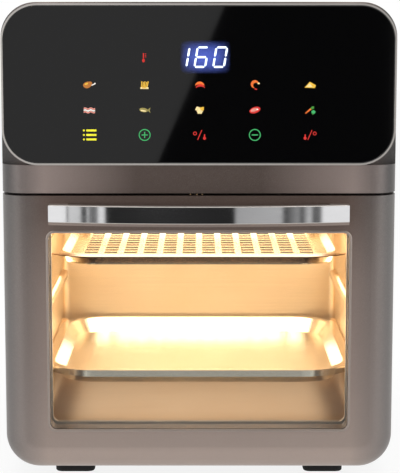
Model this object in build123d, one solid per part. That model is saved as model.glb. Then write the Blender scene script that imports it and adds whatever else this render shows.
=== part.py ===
from build123d import *
import math
import os

# Countertop air fryer oven with a drop-down glass door, a tall glass control head,
# a mesh rack and a drip tray. Millimetres, +Z up, the front faces -Y,
# and the origin is on the table under the middle of the whole oven.

# Overall sizes
body_width = 315.0
body_height = 377.0
body_depth = 322.0
foot_height = 11.0
handle_reach = 26.0
exhaust_reach = 8.0
outline_radius = 28.0
edge_radius = 20.0
seam_rise = 225.8
seam_gap = 2.0

# Door
door_depth = 32.0
door_wall = 1.6
door_gap = 2.0
heel_radius = 12.0
window_side = 37.5
window_height = 160.2
window_rise = 34.8
window_radius = 5.0
glass_thickness = 4.0
glass_overlap = 8.0
gasket_thickness = 0.5
pane_spacing = 16.5
liner_thickness = 1.2
liner_fit = 0.3
boss_radius = 4.0
liner_screw_head = 0.9
door_boss_inset = 12.5

# Hinges
hinge_side = 37.5
hinge_arm_width = 10.0
hinge_arm_height = 8.0
hinge_eye_radius = 5.0
hinge_foot_length = 46.0
hinge_block_wall = 8.0
hinge_block_reach = 12.0
hinge_block_back = 7.0
hinge_block_top = 6.5
pin_radius = 3.0
running_fit = 0.05
side_fit = 0.5
swing_clearance = 1.5
spring_length = 9.0
spring_radius = 5.5
sheet_fit = 0.2

# Handle
handle_inset = 1.5
handle_bow = 12.0
handle_bottom_rise = 203.0
handle_height = 15.4
handle_thickness = 10.5
handle_post_width = 14.5
trim_height = 12.6
trim_thickness = 2.0
handle_screw_radius = 2.0

# Control head
head_wall = 2.0
bezel_side_gap = 2.25
bezel_rise = 249.2
bezel_top_gap = 1.0
bezel_radius = 28.5
bezel_proud = 1.0
bezel_depth = 19.0
glass_margin = 1.8
control_glass_thickness = 4.0
glass_fit = 0.3
bezel_ledge = 6.0
light_guide_depth = 5.0
board_thickness = 1.6
board_margin = 8.0
display_width = 52.0
display_height = 24.0
display_x = 4.0
display_drop = 43.0
cable_hole_width = 40.0
cable_hole_height = 14.0

# Housing sheets
wrap_wall = 0.8
base_wall = 0.8
base_height = 29.0
rear_cover_thickness = 1.2
rear_flange_width = 12.0
rear_flange_thickness = 1.5
frame_thickness = 2.0
frame_bottom_rise = 30.3
frame_top_above_seam = 40.0
trough_thickness = 1.0
vent_width = 4.0
vent_pitch = 10.0
vent_length = 46.0
rear_vent_count = 13
rear_vent_pitch = 8.0
rear_vent_length = 82.8
rear_vent_rise = 66.0

# Cooking chamber
cavity_side_gap = 25.5
cavity_height = 172.0
cavity_rear_gap = 28.0
cavity_rise = 32.5
chamber_sheet = 0.8
chamber_corner = 10.0
runner_height = 8.0
runner_reach = 6.0
runner_top_rises = (73.3, 121.0, 168.5)
runner_inset_front = 12.0
runner_inset_back = 14.0
support_rail_width = 22.0
support_rail_spacing = 150.0
support_rail_wall = 1.2
support_rail_setback = 38.0

# Rack and tray
pan_side_gap = 1.5
pan_rear_gap = 5.0
pan_corner = 45.0
pan_setback = 6.0
pan_sheet = 0.8
tray_flange = 7.5
rack_flange = 15.0
tray_rim_height = 5.5
tray_depth = 13.0
tray_slope = 8.0
rack_depth = 8.2
rack_slope = 4.0
mesh_thickness = 1.0
mesh_border = 6.0
mesh_band = 5.5
mesh_band_pitch = 17.0
mesh_wire = 3.0
mesh_wire_pitch = 15.0
runner_fit = 0.3

# Heater, fans and motor
fan_offset = 2.0
roof_hole_radius = 88.0
guard_radius = 97.0
guard_thickness = 1.0
guard_slot_rows = 5
dome_radius = 104.0
dome_height = 46.0
dome_flange = 9.0
element_radius = 3.3
element_outer = 94.0
element_inner = 77.0
element_rise = 10.0
element_sweep = 330.0
terminal_rise = 12.0
terminal_angle = 90.0
bracket_width = 2.0
fan_radius = 68.0
fan_height = 14.0
fan_lift = 24.0
blade_count = 12
blade_thickness = 0.8
hub_radius = 7.0
cooling_fan_radius = 46.0
cooling_fan_height = 12.0
cooling_fan_lift = 6.0
shaft_radius = 3.0
shaft_hole_radius = 6.0
motor_lift = 26.0
motor_plate_length = 132.0
motor_plate_width = 40.0
motor_plate_thickness = 1.5
bearing_bar_height = 7.5
bearing_bar_width = 16.0
bearing_radius = 6.0
stator_length = 64.0
stator_width = 54.0
stator_height = 22.0
rotor_radius = 12.0
rotor_gap = 0.4
motor_screw_offset = 27.0
motor_screw_radius = 1.8
screw_fit = 0.1

# Lamp, probe, cutout, switch and catch
lamp_rise = 141.0
lamp_setback = 128.0
lens_radius = 18.0
lens_thickness = 3.0
lens_lip = 4.0
socket_depth = 14.0
socket_wall = 1.5
bulb_radius = 5.0
bulb_length = 9.0
probe_radius = 2.0
probe_reach = 30.0
probe_x = 70.0
probe_drop = 24.0
probe_flange_radius = 6.0
cutout_radius = 8.0
cutout_height = 9.0
cutout_offset = 78.0
switch_side = 39.5
switch_width = 20.0
switch_depth = 14.0
switch_height = 10.0
plunger_radius = 1.5
plunger_length = 10.0
catch_width = 30.0
catch_height = 6.0
catch_depth = 12.0
strike_thickness = 1.0
fitting_drop = 7.0

# Power board
power_board_length = 110.0
power_board_height = 74.0
power_board_rise = 18.0
power_board_setback = 50.0
power_board_side = 14.5
standoff_length = 5.0
standoff_radius = 3.0
standoff_inset = 8.0
carrier_thickness = 1.0
carrier_gap = 3.0

# Exhaust, cord gland, feet and screws
duct_width = 100.0
duct_height = 36.0
duct_length = 50.0
duct_wall = 1.0
duct_lift = 6.0
grille_width = 124.0
grille_height = 56.0
grille_radius = 6.0
grille_wall = 2.0
louvre_count = 6
gland_side = 47.5
gland_rise = 40.0
gland_bore_radius = 4.0
gland_neck_radius = 7.0
gland_flange_radius = 10.0
gland_flange_thickness = 3.0
gland_length = 16.0
foot_length = 32.5
foot_width = 22.0
foot_radius = 6.0
foot_side = 54.3
foot_front_setback = 38.0
foot_rear_gap = 36.0
foot_screw_radius = 2.0
foot_recess = 3.0
cover_screw_radius = 1.6
screw_head_radius = 3.4
screw_head_height = 2.0
screw_length = 8.0

# Planes and places worked out from the sizes above
far = 1000.0
window_width = body_width - 2 * window_side
handle_width = window_width - 2 * handle_inset
hinge_spacing = body_width - 2 * hinge_side
bezel_width = body_width - 2 * bezel_side_gap
bezel_height = body_height - bezel_rise - bezel_top_gap
display_rise = body_height - display_drop
cavity_width = body_width - 2 * cavity_side_gap
cavity_depth = body_depth - door_depth - door_gap - frame_thickness - cavity_rear_gap
pan_width = cavity_width - 2 * pan_side_gap
pan_depth = cavity_depth - pan_setback - pan_rear_gap
fan_setback = cavity_depth / 2 + fan_offset
switch_x = switch_side - body_width / 2
power_board_x = power_board_side - body_width / 2
gland_x = body_width / 2 - gland_side
foot_spacing = body_width - 2 * foot_side
foot_back_setback = body_depth - foot_rear_gap
front = handle_reach - (handle_reach + body_depth + exhaust_reach) / 2
back = front + body_depth
base = foot_height
top = base + body_height
seam = base + seam_rise
door_top = seam - seam_gap / 2
head_bottom = seam + seam_gap / 2
door_back = front + door_depth
frame_front = door_back + door_gap
frame_back = frame_front + frame_thickness
cover_front = back - rear_cover_thickness
hinge_y = front + edge_radius
hinge_z = base + edge_radius
window_bottom = base + window_rise
window_top = window_bottom + window_height
cavity_floor = base + cavity_rise
cavity_roof = cavity_floor + cavity_height
cavity_back = frame_back + cavity_depth
roof_top = cavity_roof + chamber_sheet
fan_y = frame_back + fan_setback
dome_top = roof_top + dome_height
motor_base = dome_top + motor_lift
stator_bottom = motor_base + motor_plate_thickness + bearing_bar_height
stator_top = stator_bottom + stator_height
shaft_top = stator_top + bearing_bar_height + 3.0
fitting_z = door_top - fitting_drop


def block(x0, x1, y0, y1, z0, z1):
    """A box between two corners."""
    middle = Pos((x0 + x1) / 2, (y0 + y1) / 2, (z0 + z1) / 2)
    return middle * Box(x1 - x0, y1 - y0, z1 - z0)


def rod_x(radius, x0, x1, y, z):
    """A round bar along X."""
    return Pos((x0 + x1) / 2, y, z) * Rot(0, 90, 0) * Cylinder(radius, x1 - x0)


def rod_y(radius, y0, y1, x, z):
    """A round bar along Y."""
    return Pos(x, (y0 + y1) / 2, z) * Rot(90, 0, 0) * Cylinder(radius, y1 - y0)


def rod_z(radius, z0, z1, x, y):
    """A round bar along Z."""
    return Pos(x, y, (z0 + z1) / 2) * Cylinder(radius, z1 - z0)


def panel(width, z0, z1, radius, y0, y1, x=0.0):
    """A plate facing the front, with rounded corners."""
    outline = RectangleRounded(width, z1 - z0, radius)
    return Pos(x, y1, (z0 + z1) / 2) * extrude(Plane.XZ * outline, y1 - y0)


def slab(width, depth, radius, z0, z1, y):
    """A flat plate lying down, with rounded corners."""
    return Pos(0, y, z0) * extrude(RectangleRounded(width, depth, radius), z1 - z0)


def frustum(lower, upper, z0, z1, y):
    """A block that widens from one rounded rectangle to another."""
    sketches = [Pos(0, y, z0) * RectangleRounded(*lower), Pos(0, y, z1) * RectangleRounded(*upper)]
    return loft(sketches)


def group(solids):
    """Several separate solids of one node."""
    return Compound(children=list(solids))


def mirrored(solid):
    """The solid and its twin on the other side of the oven."""
    return [solid, mirror(solid, Plane.YZ)]


def body_form(inset, y0, y1):
    """The oven's outer form, moved in by inset, with its front edges rounded."""
    form = panel(body_width - 2 * inset, base + inset, top - inset, outline_radius - inset, y0, y1)
    return fillet(form.faces().sort_by(Axis.Y)[0].edges(), edge_radius - inset)


def body_ring(y0, y1, outside, inside):
    """A band of the oven's outline between two insets."""
    outer = panel(body_width - 2 * outside, base + outside, top - outside, outline_radius - outside, y0, y1)
    inner = panel(
        body_width - 2 * inside, base + inside, top - inside, outline_radius - inside, y0 - 1, y1 + 1
    )
    return outer - inner


def door_sweep():
    """The room that the door's heel needs when it swings, below the front frame."""
    round_room = rod_x(edge_radius + swing_clearance, -far, far, hinge_y, hinge_z)
    return round_room & block(-far, far, front, cavity_back, 0, base + frame_bottom_rise)


def heel_cut(inset):
    """What rounds the door's lower back edge."""
    corner_z = base + heel_radius
    corner = block(-far, far, hinge_y, door_back + 2, 0, corner_z)
    return corner - rod_x(heel_radius - inset, -far, far, hinge_y, corner_z)


def hinge_slots():
    """Room in the door for the two fixed hinge arms."""
    half = hinge_arm_width / 2 + side_fit
    middle = hinge_spacing / 2
    slot = block(
        middle - half,
        middle + half,
        hinge_y - hinge_eye_radius - side_fit,
        door_back + 1,
        base - 1,
        hinge_z + hinge_eye_radius + side_fit,
    )
    return mirrored(slot)


def door_boss_places():
    """Where the liner is screwed to the door."""
    x = body_width / 2 - door_boss_inset
    middle = (window_bottom + window_top) / 2
    return [(side * x, z) for side in (-1, 1) for z in (window_bottom, middle, window_top)]


def make_door_shell():
    outer = body_form(0, front, door_back) & block(-far, far, -far, far, 0, door_top)
    inner = body_form(door_wall, front + door_wall, door_back + 1)
    inner = inner & block(-far, far, -far, far, 0, door_top - door_wall)
    shell = outer - heel_cut(0) - (inner - heel_cut(door_wall))
    core = body_form(door_wall / 2, front + door_wall / 2, door_back + 1)
    for x, z in door_boss_places():
        boss = rod_y(boss_radius, front + door_wall, door_back - liner_thickness, x, z) & core
        shell = shell + boss - rod_y(cover_screw_radius, door_back - screw_length, door_back, x, z)
    shell -= panel(window_width, window_bottom, window_top, window_radius, front - 1, front + door_wall + 1)
    for x, z in handle_screw_places():
        shell -= rod_y(handle_screw_radius + screw_fit, front - 1, front + door_wall + 1, x, z)
    for slot in hinge_slots():
        shell -= slot
    return shell


def pane(y0, y1):
    """A glass pane behind the window hole."""
    grow = glass_overlap
    width = window_width + 2 * grow
    return panel(width, window_bottom - grow, window_top + grow, window_radius + grow, y0, y1)


def window_ring(y0, y1, inside):
    """A ring as large as the panes, open to the window, moved out by inside."""
    hole = panel(
        window_width + 2 * inside,
        window_bottom - inside,
        window_top + inside,
        window_radius + inside,
        y0 - 1,
        y1 + 1,
    )
    return pane(y0, y1) - hole


gasket_back = front + door_wall + gasket_thickness
outer_pane_back = gasket_back + glass_thickness
inner_pane_front = outer_pane_back + pane_spacing
inner_pane_back = inner_pane_front + glass_thickness


def make_door_glazing():
    return {
        "glass_gasket": window_ring(front + door_wall, gasket_back, 1.0),
        "outer_glass": pane(gasket_back, outer_pane_back),
        "glass_spacer": window_ring(outer_pane_back, inner_pane_front, 1.0),
        "inner_glass": pane(inner_pane_front, inner_pane_back),
    }


def make_door_liner():
    inset = door_wall + liner_fit
    plate = body_form(inset, front + inset, door_back) & block(
        -far, far, door_back - liner_thickness, far, base + heel_radius + liner_fit, door_top - inset
    )
    collar = window_ring(inner_pane_back, door_back, 0.0)
    liner = plate + collar
    liner -= panel(window_width, window_bottom, window_top, window_radius, front, door_back + 1)
    for x, z in door_boss_places():
        liner -= rod_y(cover_screw_radius + screw_fit, front, door_back + 1, x, z)
    for slot in hinge_slots():
        liner -= slot
    strike_room = block(
        -catch_width / 2,
        catch_width / 2,
        door_back - strike_thickness,
        door_back + 1,
        fitting_z - catch_height / 2,
        fitting_z + catch_height / 2,
    )
    return liner - strike_room


def make_liner_screws():
    screws = []
    for x, z in door_boss_places():
        shank_end = door_back - screw_length + 1
        shank = rod_y(cover_screw_radius, shank_end, door_back, x, z)
        screws.append(shank + rod_y(screw_head_radius, door_back, door_back + liner_screw_head, x, z))
    return screws


def handle_screw_places():
    """Where the handle's two posts are screwed on."""
    x = handle_width / 2 - handle_post_width / 2
    z = base + handle_bottom_rise + handle_height / 2
    return [(-x, z), (x, z)]


def bow_y(x, middle_y):
    """How far forward the handle's bowed face is at x."""
    half = handle_width / 2
    radius = (half**2 + handle_bow**2) / (2 * handle_bow)
    return middle_y + radius - math.sqrt(radius**2 - x**2)


def bowed_outline(half, middle_y, end_y):
    """A closed plan with a bowed front face and a straight back."""
    side_y = bow_y(half, middle_y)
    arc = ThreePointArc((-half, side_y), (0, middle_y), (half, side_y))
    rest = Polyline((half, side_y), (half, end_y), (-half, end_y), (-half, side_y))
    return make_face(Curve() + [arc, rest])


def make_handle_bar():
    bottom = base + handle_bottom_rise
    half = handle_width / 2
    face_y = front - handle_reach + trim_thickness
    solid = Pos(0, 0, bottom) * extrude(bowed_outline(half, face_y, front), handle_height)
    gap_half = half - handle_post_width
    gap_plan = bowed_outline(gap_half, face_y + handle_thickness, front + 1)
    bar = solid - Pos(0, 0, bottom - 1) * extrude(gap_plan, handle_height + 2)
    for x, z in handle_screw_places():
        bar -= rod_y(handle_screw_radius, front - screw_length, front + 1, x, z)
    return bar


def make_handle_trim():
    half = handle_width / 2
    middle_y = front - handle_reach
    trim_top = base + handle_bottom_rise + handle_height
    outer = bowed_outline(half, middle_y, front)
    inner = bowed_outline(half + 1, middle_y + trim_thickness, front + 1)
    strip = extrude(outer, trim_height) - Pos(0, 0, -1) * extrude(inner, trim_height + 2)
    return Pos(0, 0, trim_top - trim_height) * strip


def make_handle_screws():
    screws = []
    for x, z in handle_screw_places():
        wall_back = front + door_wall
        shank = rod_y(handle_screw_radius, front - screw_length + 1, wall_back, x, z)
        screws.append(shank + rod_y(screw_head_radius, wall_back, wall_back + screw_head_height, x, z))
    return screws


def hinge_block_half():
    """Half the width of a hinge block."""
    return hinge_arm_width / 2 + side_fit + hinge_block_wall


def make_hinge_block():
    half = hinge_block_half()
    middle = hinge_spacing / 2
    body = block(
        middle - half,
        middle + half,
        hinge_y - hinge_block_reach,
        hinge_y + hinge_block_back,
        hinge_z - hinge_block_reach - 1,
        hinge_z + hinge_block_top,
    )
    body -= hinge_slots()[0]
    body -= rod_x(pin_radius, middle - half - 1, middle + half + 1, hinge_y, hinge_z)
    return body


def make_hinge_pin():
    half = hinge_block_half()
    middle = hinge_spacing / 2
    return rod_x(pin_radius, middle - half - spring_length - 1, middle + half, hinge_y, hinge_z)


def make_hinge_spring():
    """The door's closing spring, wound on the inner end of the pin."""
    inner_end = hinge_spacing / 2 - hinge_block_half()
    start = inner_end - spring_length
    sleeve = rod_x(spring_radius, start, inner_end, hinge_y, hinge_z)
    return sleeve - rod_x(pin_radius + 2 * running_fit, start - 1, inner_end + 1, hinge_y, hinge_z)


def make_hinge_arm():
    """A fixed arm from the base up to the hinge pin."""
    half = hinge_arm_width / 2
    middle = hinge_spacing / 2
    floor = base + base_wall
    knee = front + door_depth + door_gap + 2 * frame_thickness + swing_clearance * 2
    arm_half = hinge_arm_height / 2
    arm = rod_x(hinge_eye_radius, middle - half, middle + half, hinge_y, hinge_z)
    arm += block(middle - half, middle + half, hinge_y, knee + 6, hinge_z - arm_half, hinge_z + arm_half)
    foot_top = base + frame_bottom_rise - 2
    arm += block(middle - half, middle + half, knee, knee + hinge_foot_length, floor, foot_top)
    return arm - rod_x(pin_radius + running_fit, 0, far, hinge_y, hinge_z)


def make_hinge_trough():
    """The curved front wall of the base, behind the door's heel."""
    radius = edge_radius + swing_clearance
    outer = rod_x(radius + trough_thickness, -far, far, hinge_y, hinge_z)
    trough = outer - rod_x(radius, -2 * far, 2 * far, hinge_y, hinge_z)
    trough &= block(-far, far, frame_front, far, base, base + frame_bottom_rise - sheet_fit)
    trough &= panel(body_width, base, top, outline_radius, front, back)
    slot_half = hinge_arm_width / 2 + side_fit
    middle = hinge_spacing / 2
    slot = block(middle - slot_half, middle + slot_half, front, cavity_back, 0, seam)
    for cut in mirrored(slot):
        trough -= cut
    return trough


def make_outer_wrap():
    ring = body_ring(frame_front, cover_front, 0, wrap_wall)
    wrap = ring & block(-far, far, -far, far, base + base_height, far)
    wrap -= door_sweep()
    vents = []
    for i in range(9):
        y = cover_front - 40 - i * vent_pitch
        z = top - outline_radius - vent_length
        vents.append(block(-far, far, y, y + vent_width, z, z + vent_length))
    wrap -= Compound(children=vents)
    return wrap + (make_rear_flange() & block(-far, far, -far, far, base + base_height, far))


def make_base_pan():
    ring = body_ring(frame_front, cover_front, 0, base_wall)
    pan = ring & block(-far, far, -far, far, 0, base + base_height)
    pan -= door_sweep()
    for i in range(8):
        y = frame_back + 70 + i * vent_pitch
        pan -= block(-vent_length / 2, vent_length / 2, y, y + vent_width, 0, base + 2 * base_wall)
    for x, y in foot_places():
        pan -= rod_z(foot_screw_radius, 0, base + 2 * base_wall, x, y)
    lower = block(-far, far, -far, far, 0, base + base_height)
    return pan + make_hinge_trough() + (make_rear_flange() & lower)


def cover_screw_places():
    """Where the rear cover is screwed on."""
    inset = wrap_wall + sheet_fit + rear_flange_width / 2
    x = body_width / 2 - inset
    heights = (base + outline_radius + 20, (base + top) / 2, top - outline_radius - 20)
    return [(side * x, z) for side in (-1, 1) for z in heights]


def make_rear_flange():
    """The turned-in rear edge that the cover is screwed to."""
    outside = wrap_wall / 2
    y0 = cover_front - rear_flange_thickness
    ring = body_ring(y0, cover_front, outside, outside + rear_flange_width)
    for x, z in cover_screw_places():
        ring -= rod_y(cover_screw_radius, y0 - 1, cover_front + 1, x, z)
    return ring


def exhaust_middle():
    """The height of the exhaust duct and its grille."""
    return dome_top + duct_lift + duct_height / 2


def make_rear_cover():
    cover = panel(body_width, base, top, outline_radius, cover_front, back)
    cover = fillet(cover.faces().sort_by(Axis.Y)[-1].edges(), rear_cover_thickness * 0.6)
    for x, z in cover_screw_places():
        cover -= rod_y(cover_screw_radius + screw_fit, cover_front - 1, back + 1, x, z)
    middle = exhaust_middle()
    inner_width = duct_width - 2 * duct_wall
    inner_height = duct_height - 2 * duct_wall
    cover -= block(
        -inner_width / 2,
        inner_width / 2,
        cover_front - 1,
        back + 1,
        middle - inner_height / 2,
        middle + inner_height / 2,
    )
    for i in range(rear_vent_count):
        z = cavity_floor + rear_vent_rise + (i - (rear_vent_count - 1) / 2) * rear_vent_pitch
        cover -= panel(rear_vent_length, z, z + vent_width, vent_width / 2.2, cover_front - 1, back + 1)
    return cover - rod_y(gland_neck_radius, cover_front - 1, back + 1, gland_x, base + gland_rise)


def make_cover_screws():
    screws = []
    for x, z in cover_screw_places():
        shank = rod_y(cover_screw_radius, back - screw_length, back, x, z)
        screws.append(shank + rod_y(screw_head_radius, back, back + screw_head_height, x, z))
    return screws


def make_exhaust_grille():
    middle = exhaust_middle()
    low = middle - grille_height / 2
    high = middle + grille_height / 2
    hood = panel(grille_width, low, high, grille_radius, back, back + exhaust_reach)
    inner = panel(
        grille_width - 2 * grille_wall,
        low + grille_wall,
        high - grille_wall,
        grille_radius - grille_wall,
        back - 1,
        back + exhaust_reach - grille_wall,
    )
    hood -= inner
    pitch = (grille_height - 2 * grille_radius) / louvre_count
    for i in range(louvre_count):
        z = low + grille_radius + (i + 0.5) * pitch
        half = grille_width / 2 - 2 * grille_radius
        hood -= block(-half, half, back, back + exhaust_reach + 1, z - vent_width / 2, z + vent_width / 2)
    return hood


def make_exhaust_duct():
    middle = exhaust_middle()
    y0 = cover_front - duct_length
    half = duct_width / 2
    half_height = duct_height / 2
    tube = block(-half, half, y0, cover_front, middle - half_height, middle + half_height)
    half -= duct_wall
    half_height -= duct_wall
    return tube - block(-half, half, y0 - 1, far, middle - half_height, middle + half_height)


def make_cord_gland():
    z = base + gland_rise
    gland = rod_y(gland_neck_radius, back - gland_length / 2, back, gland_x, z)
    gland += rod_y(gland_flange_radius, back, back + gland_flange_thickness, gland_x, z)
    gland += rod_y(gland_neck_radius - 1, back, back + exhaust_reach - 1, gland_x, z)
    inner_flange = cover_front - gland_flange_thickness
    gland += rod_y(gland_flange_radius, inner_flange, cover_front, gland_x, z)
    return gland - rod_y(gland_bore_radius, cover_front - far, far, gland_x, z)


def make_front_frame():
    inset = wrap_wall + sheet_fit
    frame = panel(
        body_width - 2 * inset, base + inset, top - inset, outline_radius - inset, frame_front, frame_back
    )
    frame &= block(-far, far, -far, far, base + frame_bottom_rise, seam + frame_top_above_seam)
    frame -= panel(cavity_width, cavity_floor, cavity_roof, chamber_corner, frame_front - 1, frame_back + 1)
    frame -= rod_y(plunger_radius + running_fit, frame_front - 1, frame_back + 1, switch_x, fitting_z)
    frame -= block(
        -catch_width / 2,
        catch_width / 2,
        frame_front - 1,
        frame_back + 1,
        fitting_z - catch_height / 2,
        fitting_z + catch_height / 2,
    )
    return frame


def make_door_seal():
    """The soft ring round the cavity mouth that the closed door rests on."""
    seal_gap = 0.3
    seal_width = 6.0
    clear = 3.0
    width = cavity_width + 2 * (clear + seal_width)
    low = base + frame_bottom_rise + 0.5
    high = cavity_roof + clear + seal_width
    outer = panel(width, low, high, chamber_corner + clear, door_back + seal_gap, frame_front)
    inner = panel(
        cavity_width + 2 * clear,
        cavity_floor - 0.2,
        cavity_roof + clear,
        chamber_corner,
        front,
        frame_front + 1,
    )
    return outer - inner


def make_cooking_chamber():
    sheet = chamber_sheet
    half = cavity_width / 2
    outer = block(
        -half - sheet, half + sheet, frame_back, cavity_back + sheet, cavity_floor - sheet, roof_top
    )
    inner = block(-half, half, frame_back - 1, cavity_back, cavity_floor, cavity_roof)
    lengthwise = outer.edges().filter_by(Axis.Y)
    outer = fillet(lengthwise, chamber_corner + sheet)
    outer = fillet(outer.faces().sort_by(Axis.Y)[-1].edges(), chamber_corner * 0.6 + sheet)
    inner = fillet(inner.edges().filter_by(Axis.Y), chamber_corner)
    inner = fillet(inner.faces().sort_by(Axis.Y)[-1].edges(), chamber_corner * 0.6)
    y0 = frame_back + runner_inset_front
    y1 = cavity_back - runner_inset_back
    for rise in runner_top_rises:
        high = base + rise
        low = high - runner_height
        for side in (-1, 1):
            wall_x = side * (half + sheet)
            tip_x = side * (half - runner_reach)
            x0, x1 = sorted((wall_x, tip_x))
            bump = block(x0, x1, y0, y1, low, high)
            tip_edges = bump.faces().sort_by(Axis.X)[0 if side > 0 else -1].edges()
            inner -= fillet(tip_edges, runner_height * 0.3)
            dent_x = side * (half - runner_reach + sheet)
            x0, x1 = sorted((wall_x + side, dent_x))
            outer -= block(x0, x1, y0 + sheet, y1 - sheet, low + sheet, high - sheet)
    chamber = outer - inner
    chamber -= rod_z(roof_hole_radius, cavity_roof - 1, roof_top + 1, 0, fan_y)
    chamber -= rod_x(lens_radius - lens_lip, half - 2, half + 2 * sheet + 2, lamp_y, lamp_z)
    return chamber - rod_y(probe_radius + screw_fit, cavity_back - 2, cavity_back + 5, probe_x, probe_z)


lamp_y = frame_back + lamp_setback
lamp_z = base + lamp_rise
probe_z = cavity_roof - probe_drop


def make_support_rails():
    """Two channels that carry the chamber on the base."""
    low = base + base_wall
    high = cavity_floor - chamber_sheet
    half = support_rail_width / 2
    x = support_rail_spacing / 2
    wall = support_rail_wall
    y0 = frame_back + support_rail_setback
    rail = block(x - half, x + half, y0, cavity_back, low, high)
    rail -= block(x - half + wall, x + half - wall, y0 - 1, cavity_back + 1, low - 1, high - wall)
    return group(mirrored(rail))


def pan_middle():
    """The middle of the rack and the tray, front to back."""
    return frame_back + pan_setback + pan_depth / 2


def pan_flange_plate(rim_top, flange):
    y = pan_middle()
    plate = slab(pan_width, pan_depth, pan_corner, rim_top - pan_sheet, rim_top, y)
    width = pan_width - 2 * flange
    depth = pan_depth - 2 * flange
    return plate - slab(width, depth, pan_corner - flange, rim_top - far, rim_top + 1, y)


def pan_bowl(rim_top, flange, depth, slope, floor):
    """The pressed sides of a rack or a tray, with or without a floor."""
    y = pan_middle()
    width = pan_width - 2 * flange
    length = pan_depth - 2 * flange
    corner = pan_corner - flange
    bottom = rim_top - depth
    wall = pan_sheet
    upper = (width + 2 * wall, length + 2 * wall, corner + wall)
    lower = (width - 2 * slope + 2 * wall, length - 2 * slope + 2 * wall, corner - slope + wall)
    outer = frustum(lower, upper, bottom, rim_top, y)
    inner_upper = (width, length, corner)
    inner_lower = (width - 2 * slope, length - 2 * slope, corner - slope)
    inner = frustum(inner_lower, inner_upper, bottom, rim_top, y)
    if floor:
        inner &= block(-far, far, -far, far, bottom + wall, far)
    return outer - inner


def make_drip_tray():
    rim_top = base + runner_top_rises[0] + runner_fit + pan_sheet
    y = pan_middle()
    tray = pan_flange_plate(rim_top, tray_flange)
    tray += pan_bowl(rim_top, tray_flange, tray_depth, tray_slope, True)
    skirt = slab(pan_width, pan_depth, pan_corner, rim_top - tray_rim_height, rim_top, y)
    inside = pan_width - 2 * pan_sheet
    skirt -= slab(inside, pan_depth - 2 * pan_sheet, pan_corner - pan_sheet, 0, far, y)
    clear_half = cavity_width / 2 - runner_reach - 2 * runner_fit
    return tray + (skirt & block(-clear_half, clear_half, -far, far, 0, far))


def rack_rim_top():
    return base + runner_top_rises[-1] + runner_fit + pan_sheet


def make_rack_frame():
    rim_top = rack_rim_top()
    frame = pan_flange_plate(rim_top, rack_flange)
    return frame + pan_bowl(rim_top, rack_flange, rack_depth, rack_slope, False)


def make_rack_mesh():
    """The rack's floor: smooth bands front to back, with thin cross bars between them."""
    y = pan_middle()
    bottom = rack_rim_top() - rack_depth - mesh_thickness
    inset = rack_flange + rack_slope - pan_sheet
    width = pan_width - 2 * inset
    depth = pan_depth - 2 * inset
    corner = pan_corner - inset
    plate = slab(width, depth, corner, bottom, bottom + mesh_thickness, y)
    columns = int((width - 2 * mesh_border) / mesh_band_pitch)
    rows = int((depth - 2 * mesh_border) / mesh_wire_pitch)
    gap_width = mesh_band_pitch - mesh_band
    gap_depth = mesh_wire_pitch - mesh_wire
    gaps = []
    for i in range(columns):
        for j in range(rows):
            gap_x = (i - (columns - 1) / 2) * mesh_band_pitch
            gap_y = (j - (rows - 1) / 2) * mesh_wire_pitch
            into_x = abs(gap_x) + gap_width / 2 - (width / 2 - corner)
            into_y = abs(gap_y) + gap_depth / 2 - (depth / 2 - corner)
            if into_x > 0 and into_y > 0 and math.hypot(into_x, into_y) > corner - mesh_border:
                continue
            gaps.append(Pos(gap_x, y + gap_y, bottom) * Box(gap_width, gap_depth, 4 * mesh_thickness))
    return plate - Compound(children=gaps)


def make_fan_guard():
    z0 = cavity_roof - guard_thickness
    guard = rod_z(guard_radius, z0, cavity_roof, 0, fan_y)
    pitch = (roof_hole_radius - hub_radius) / guard_slot_rows
    holes = []
    for row in range(guard_slot_rows):
        radius = hub_radius + (row + 0.75) * pitch
        count = 6 + 6 * row
        for i in range(count):
            turn = 360 * i / count
            hole = rod_z(pitch * 0.3, z0 - 1, cavity_roof + 1, radius, 0)
            holes.append(Pos(0, fan_y, 0) * Rot(0, 0, turn) * hole)
    return guard - Compound(children=holes)


def make_heater_dome():
    sheet = chamber_sheet
    dome = rod_z(dome_radius, roof_top, dome_top, 0, fan_y)
    dome = fillet(dome.faces().sort_by(Axis.Z)[-1].edges(), chamber_corner)
    inside = rod_z(dome_radius - sheet, roof_top - 1, dome_top - sheet, 0, fan_y)
    inside = fillet(inside.faces().sort_by(Axis.Z)[-1].edges(), chamber_corner - sheet)
    dome += rod_z(dome_radius + dome_flange, roof_top, roof_top + sheet, 0, fan_y)
    dome -= inside
    dome -= rod_z(shaft_hole_radius, roof_top, dome_top + 1, 0, fan_y)
    for x, y in terminal_places():
        dome -= rod_z(element_radius + screw_fit, dome_top - 5, dome_top + 1, x, y)
    return dome


def on_circle(radius, degrees):
    """A point round the fan's axis."""
    angle = math.radians(degrees)
    return radius * math.cos(angle), fan_y + radius * math.sin(angle)


def terminal_places():
    """Where the element's two ends go up through the dome."""
    return [on_circle(element_outer, terminal_angle), on_circle(element_inner, terminal_angle)]


def element_ring(radius, thickness):
    """One open turn of the heating element."""
    z = roof_top + element_rise
    section = Plane.XZ * Pos(radius, 0) * Circle(thickness)
    return Pos(0, fan_y, z) * Rot(0, 0, terminal_angle) * revolve(section, Axis.Z, element_sweep)


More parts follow.
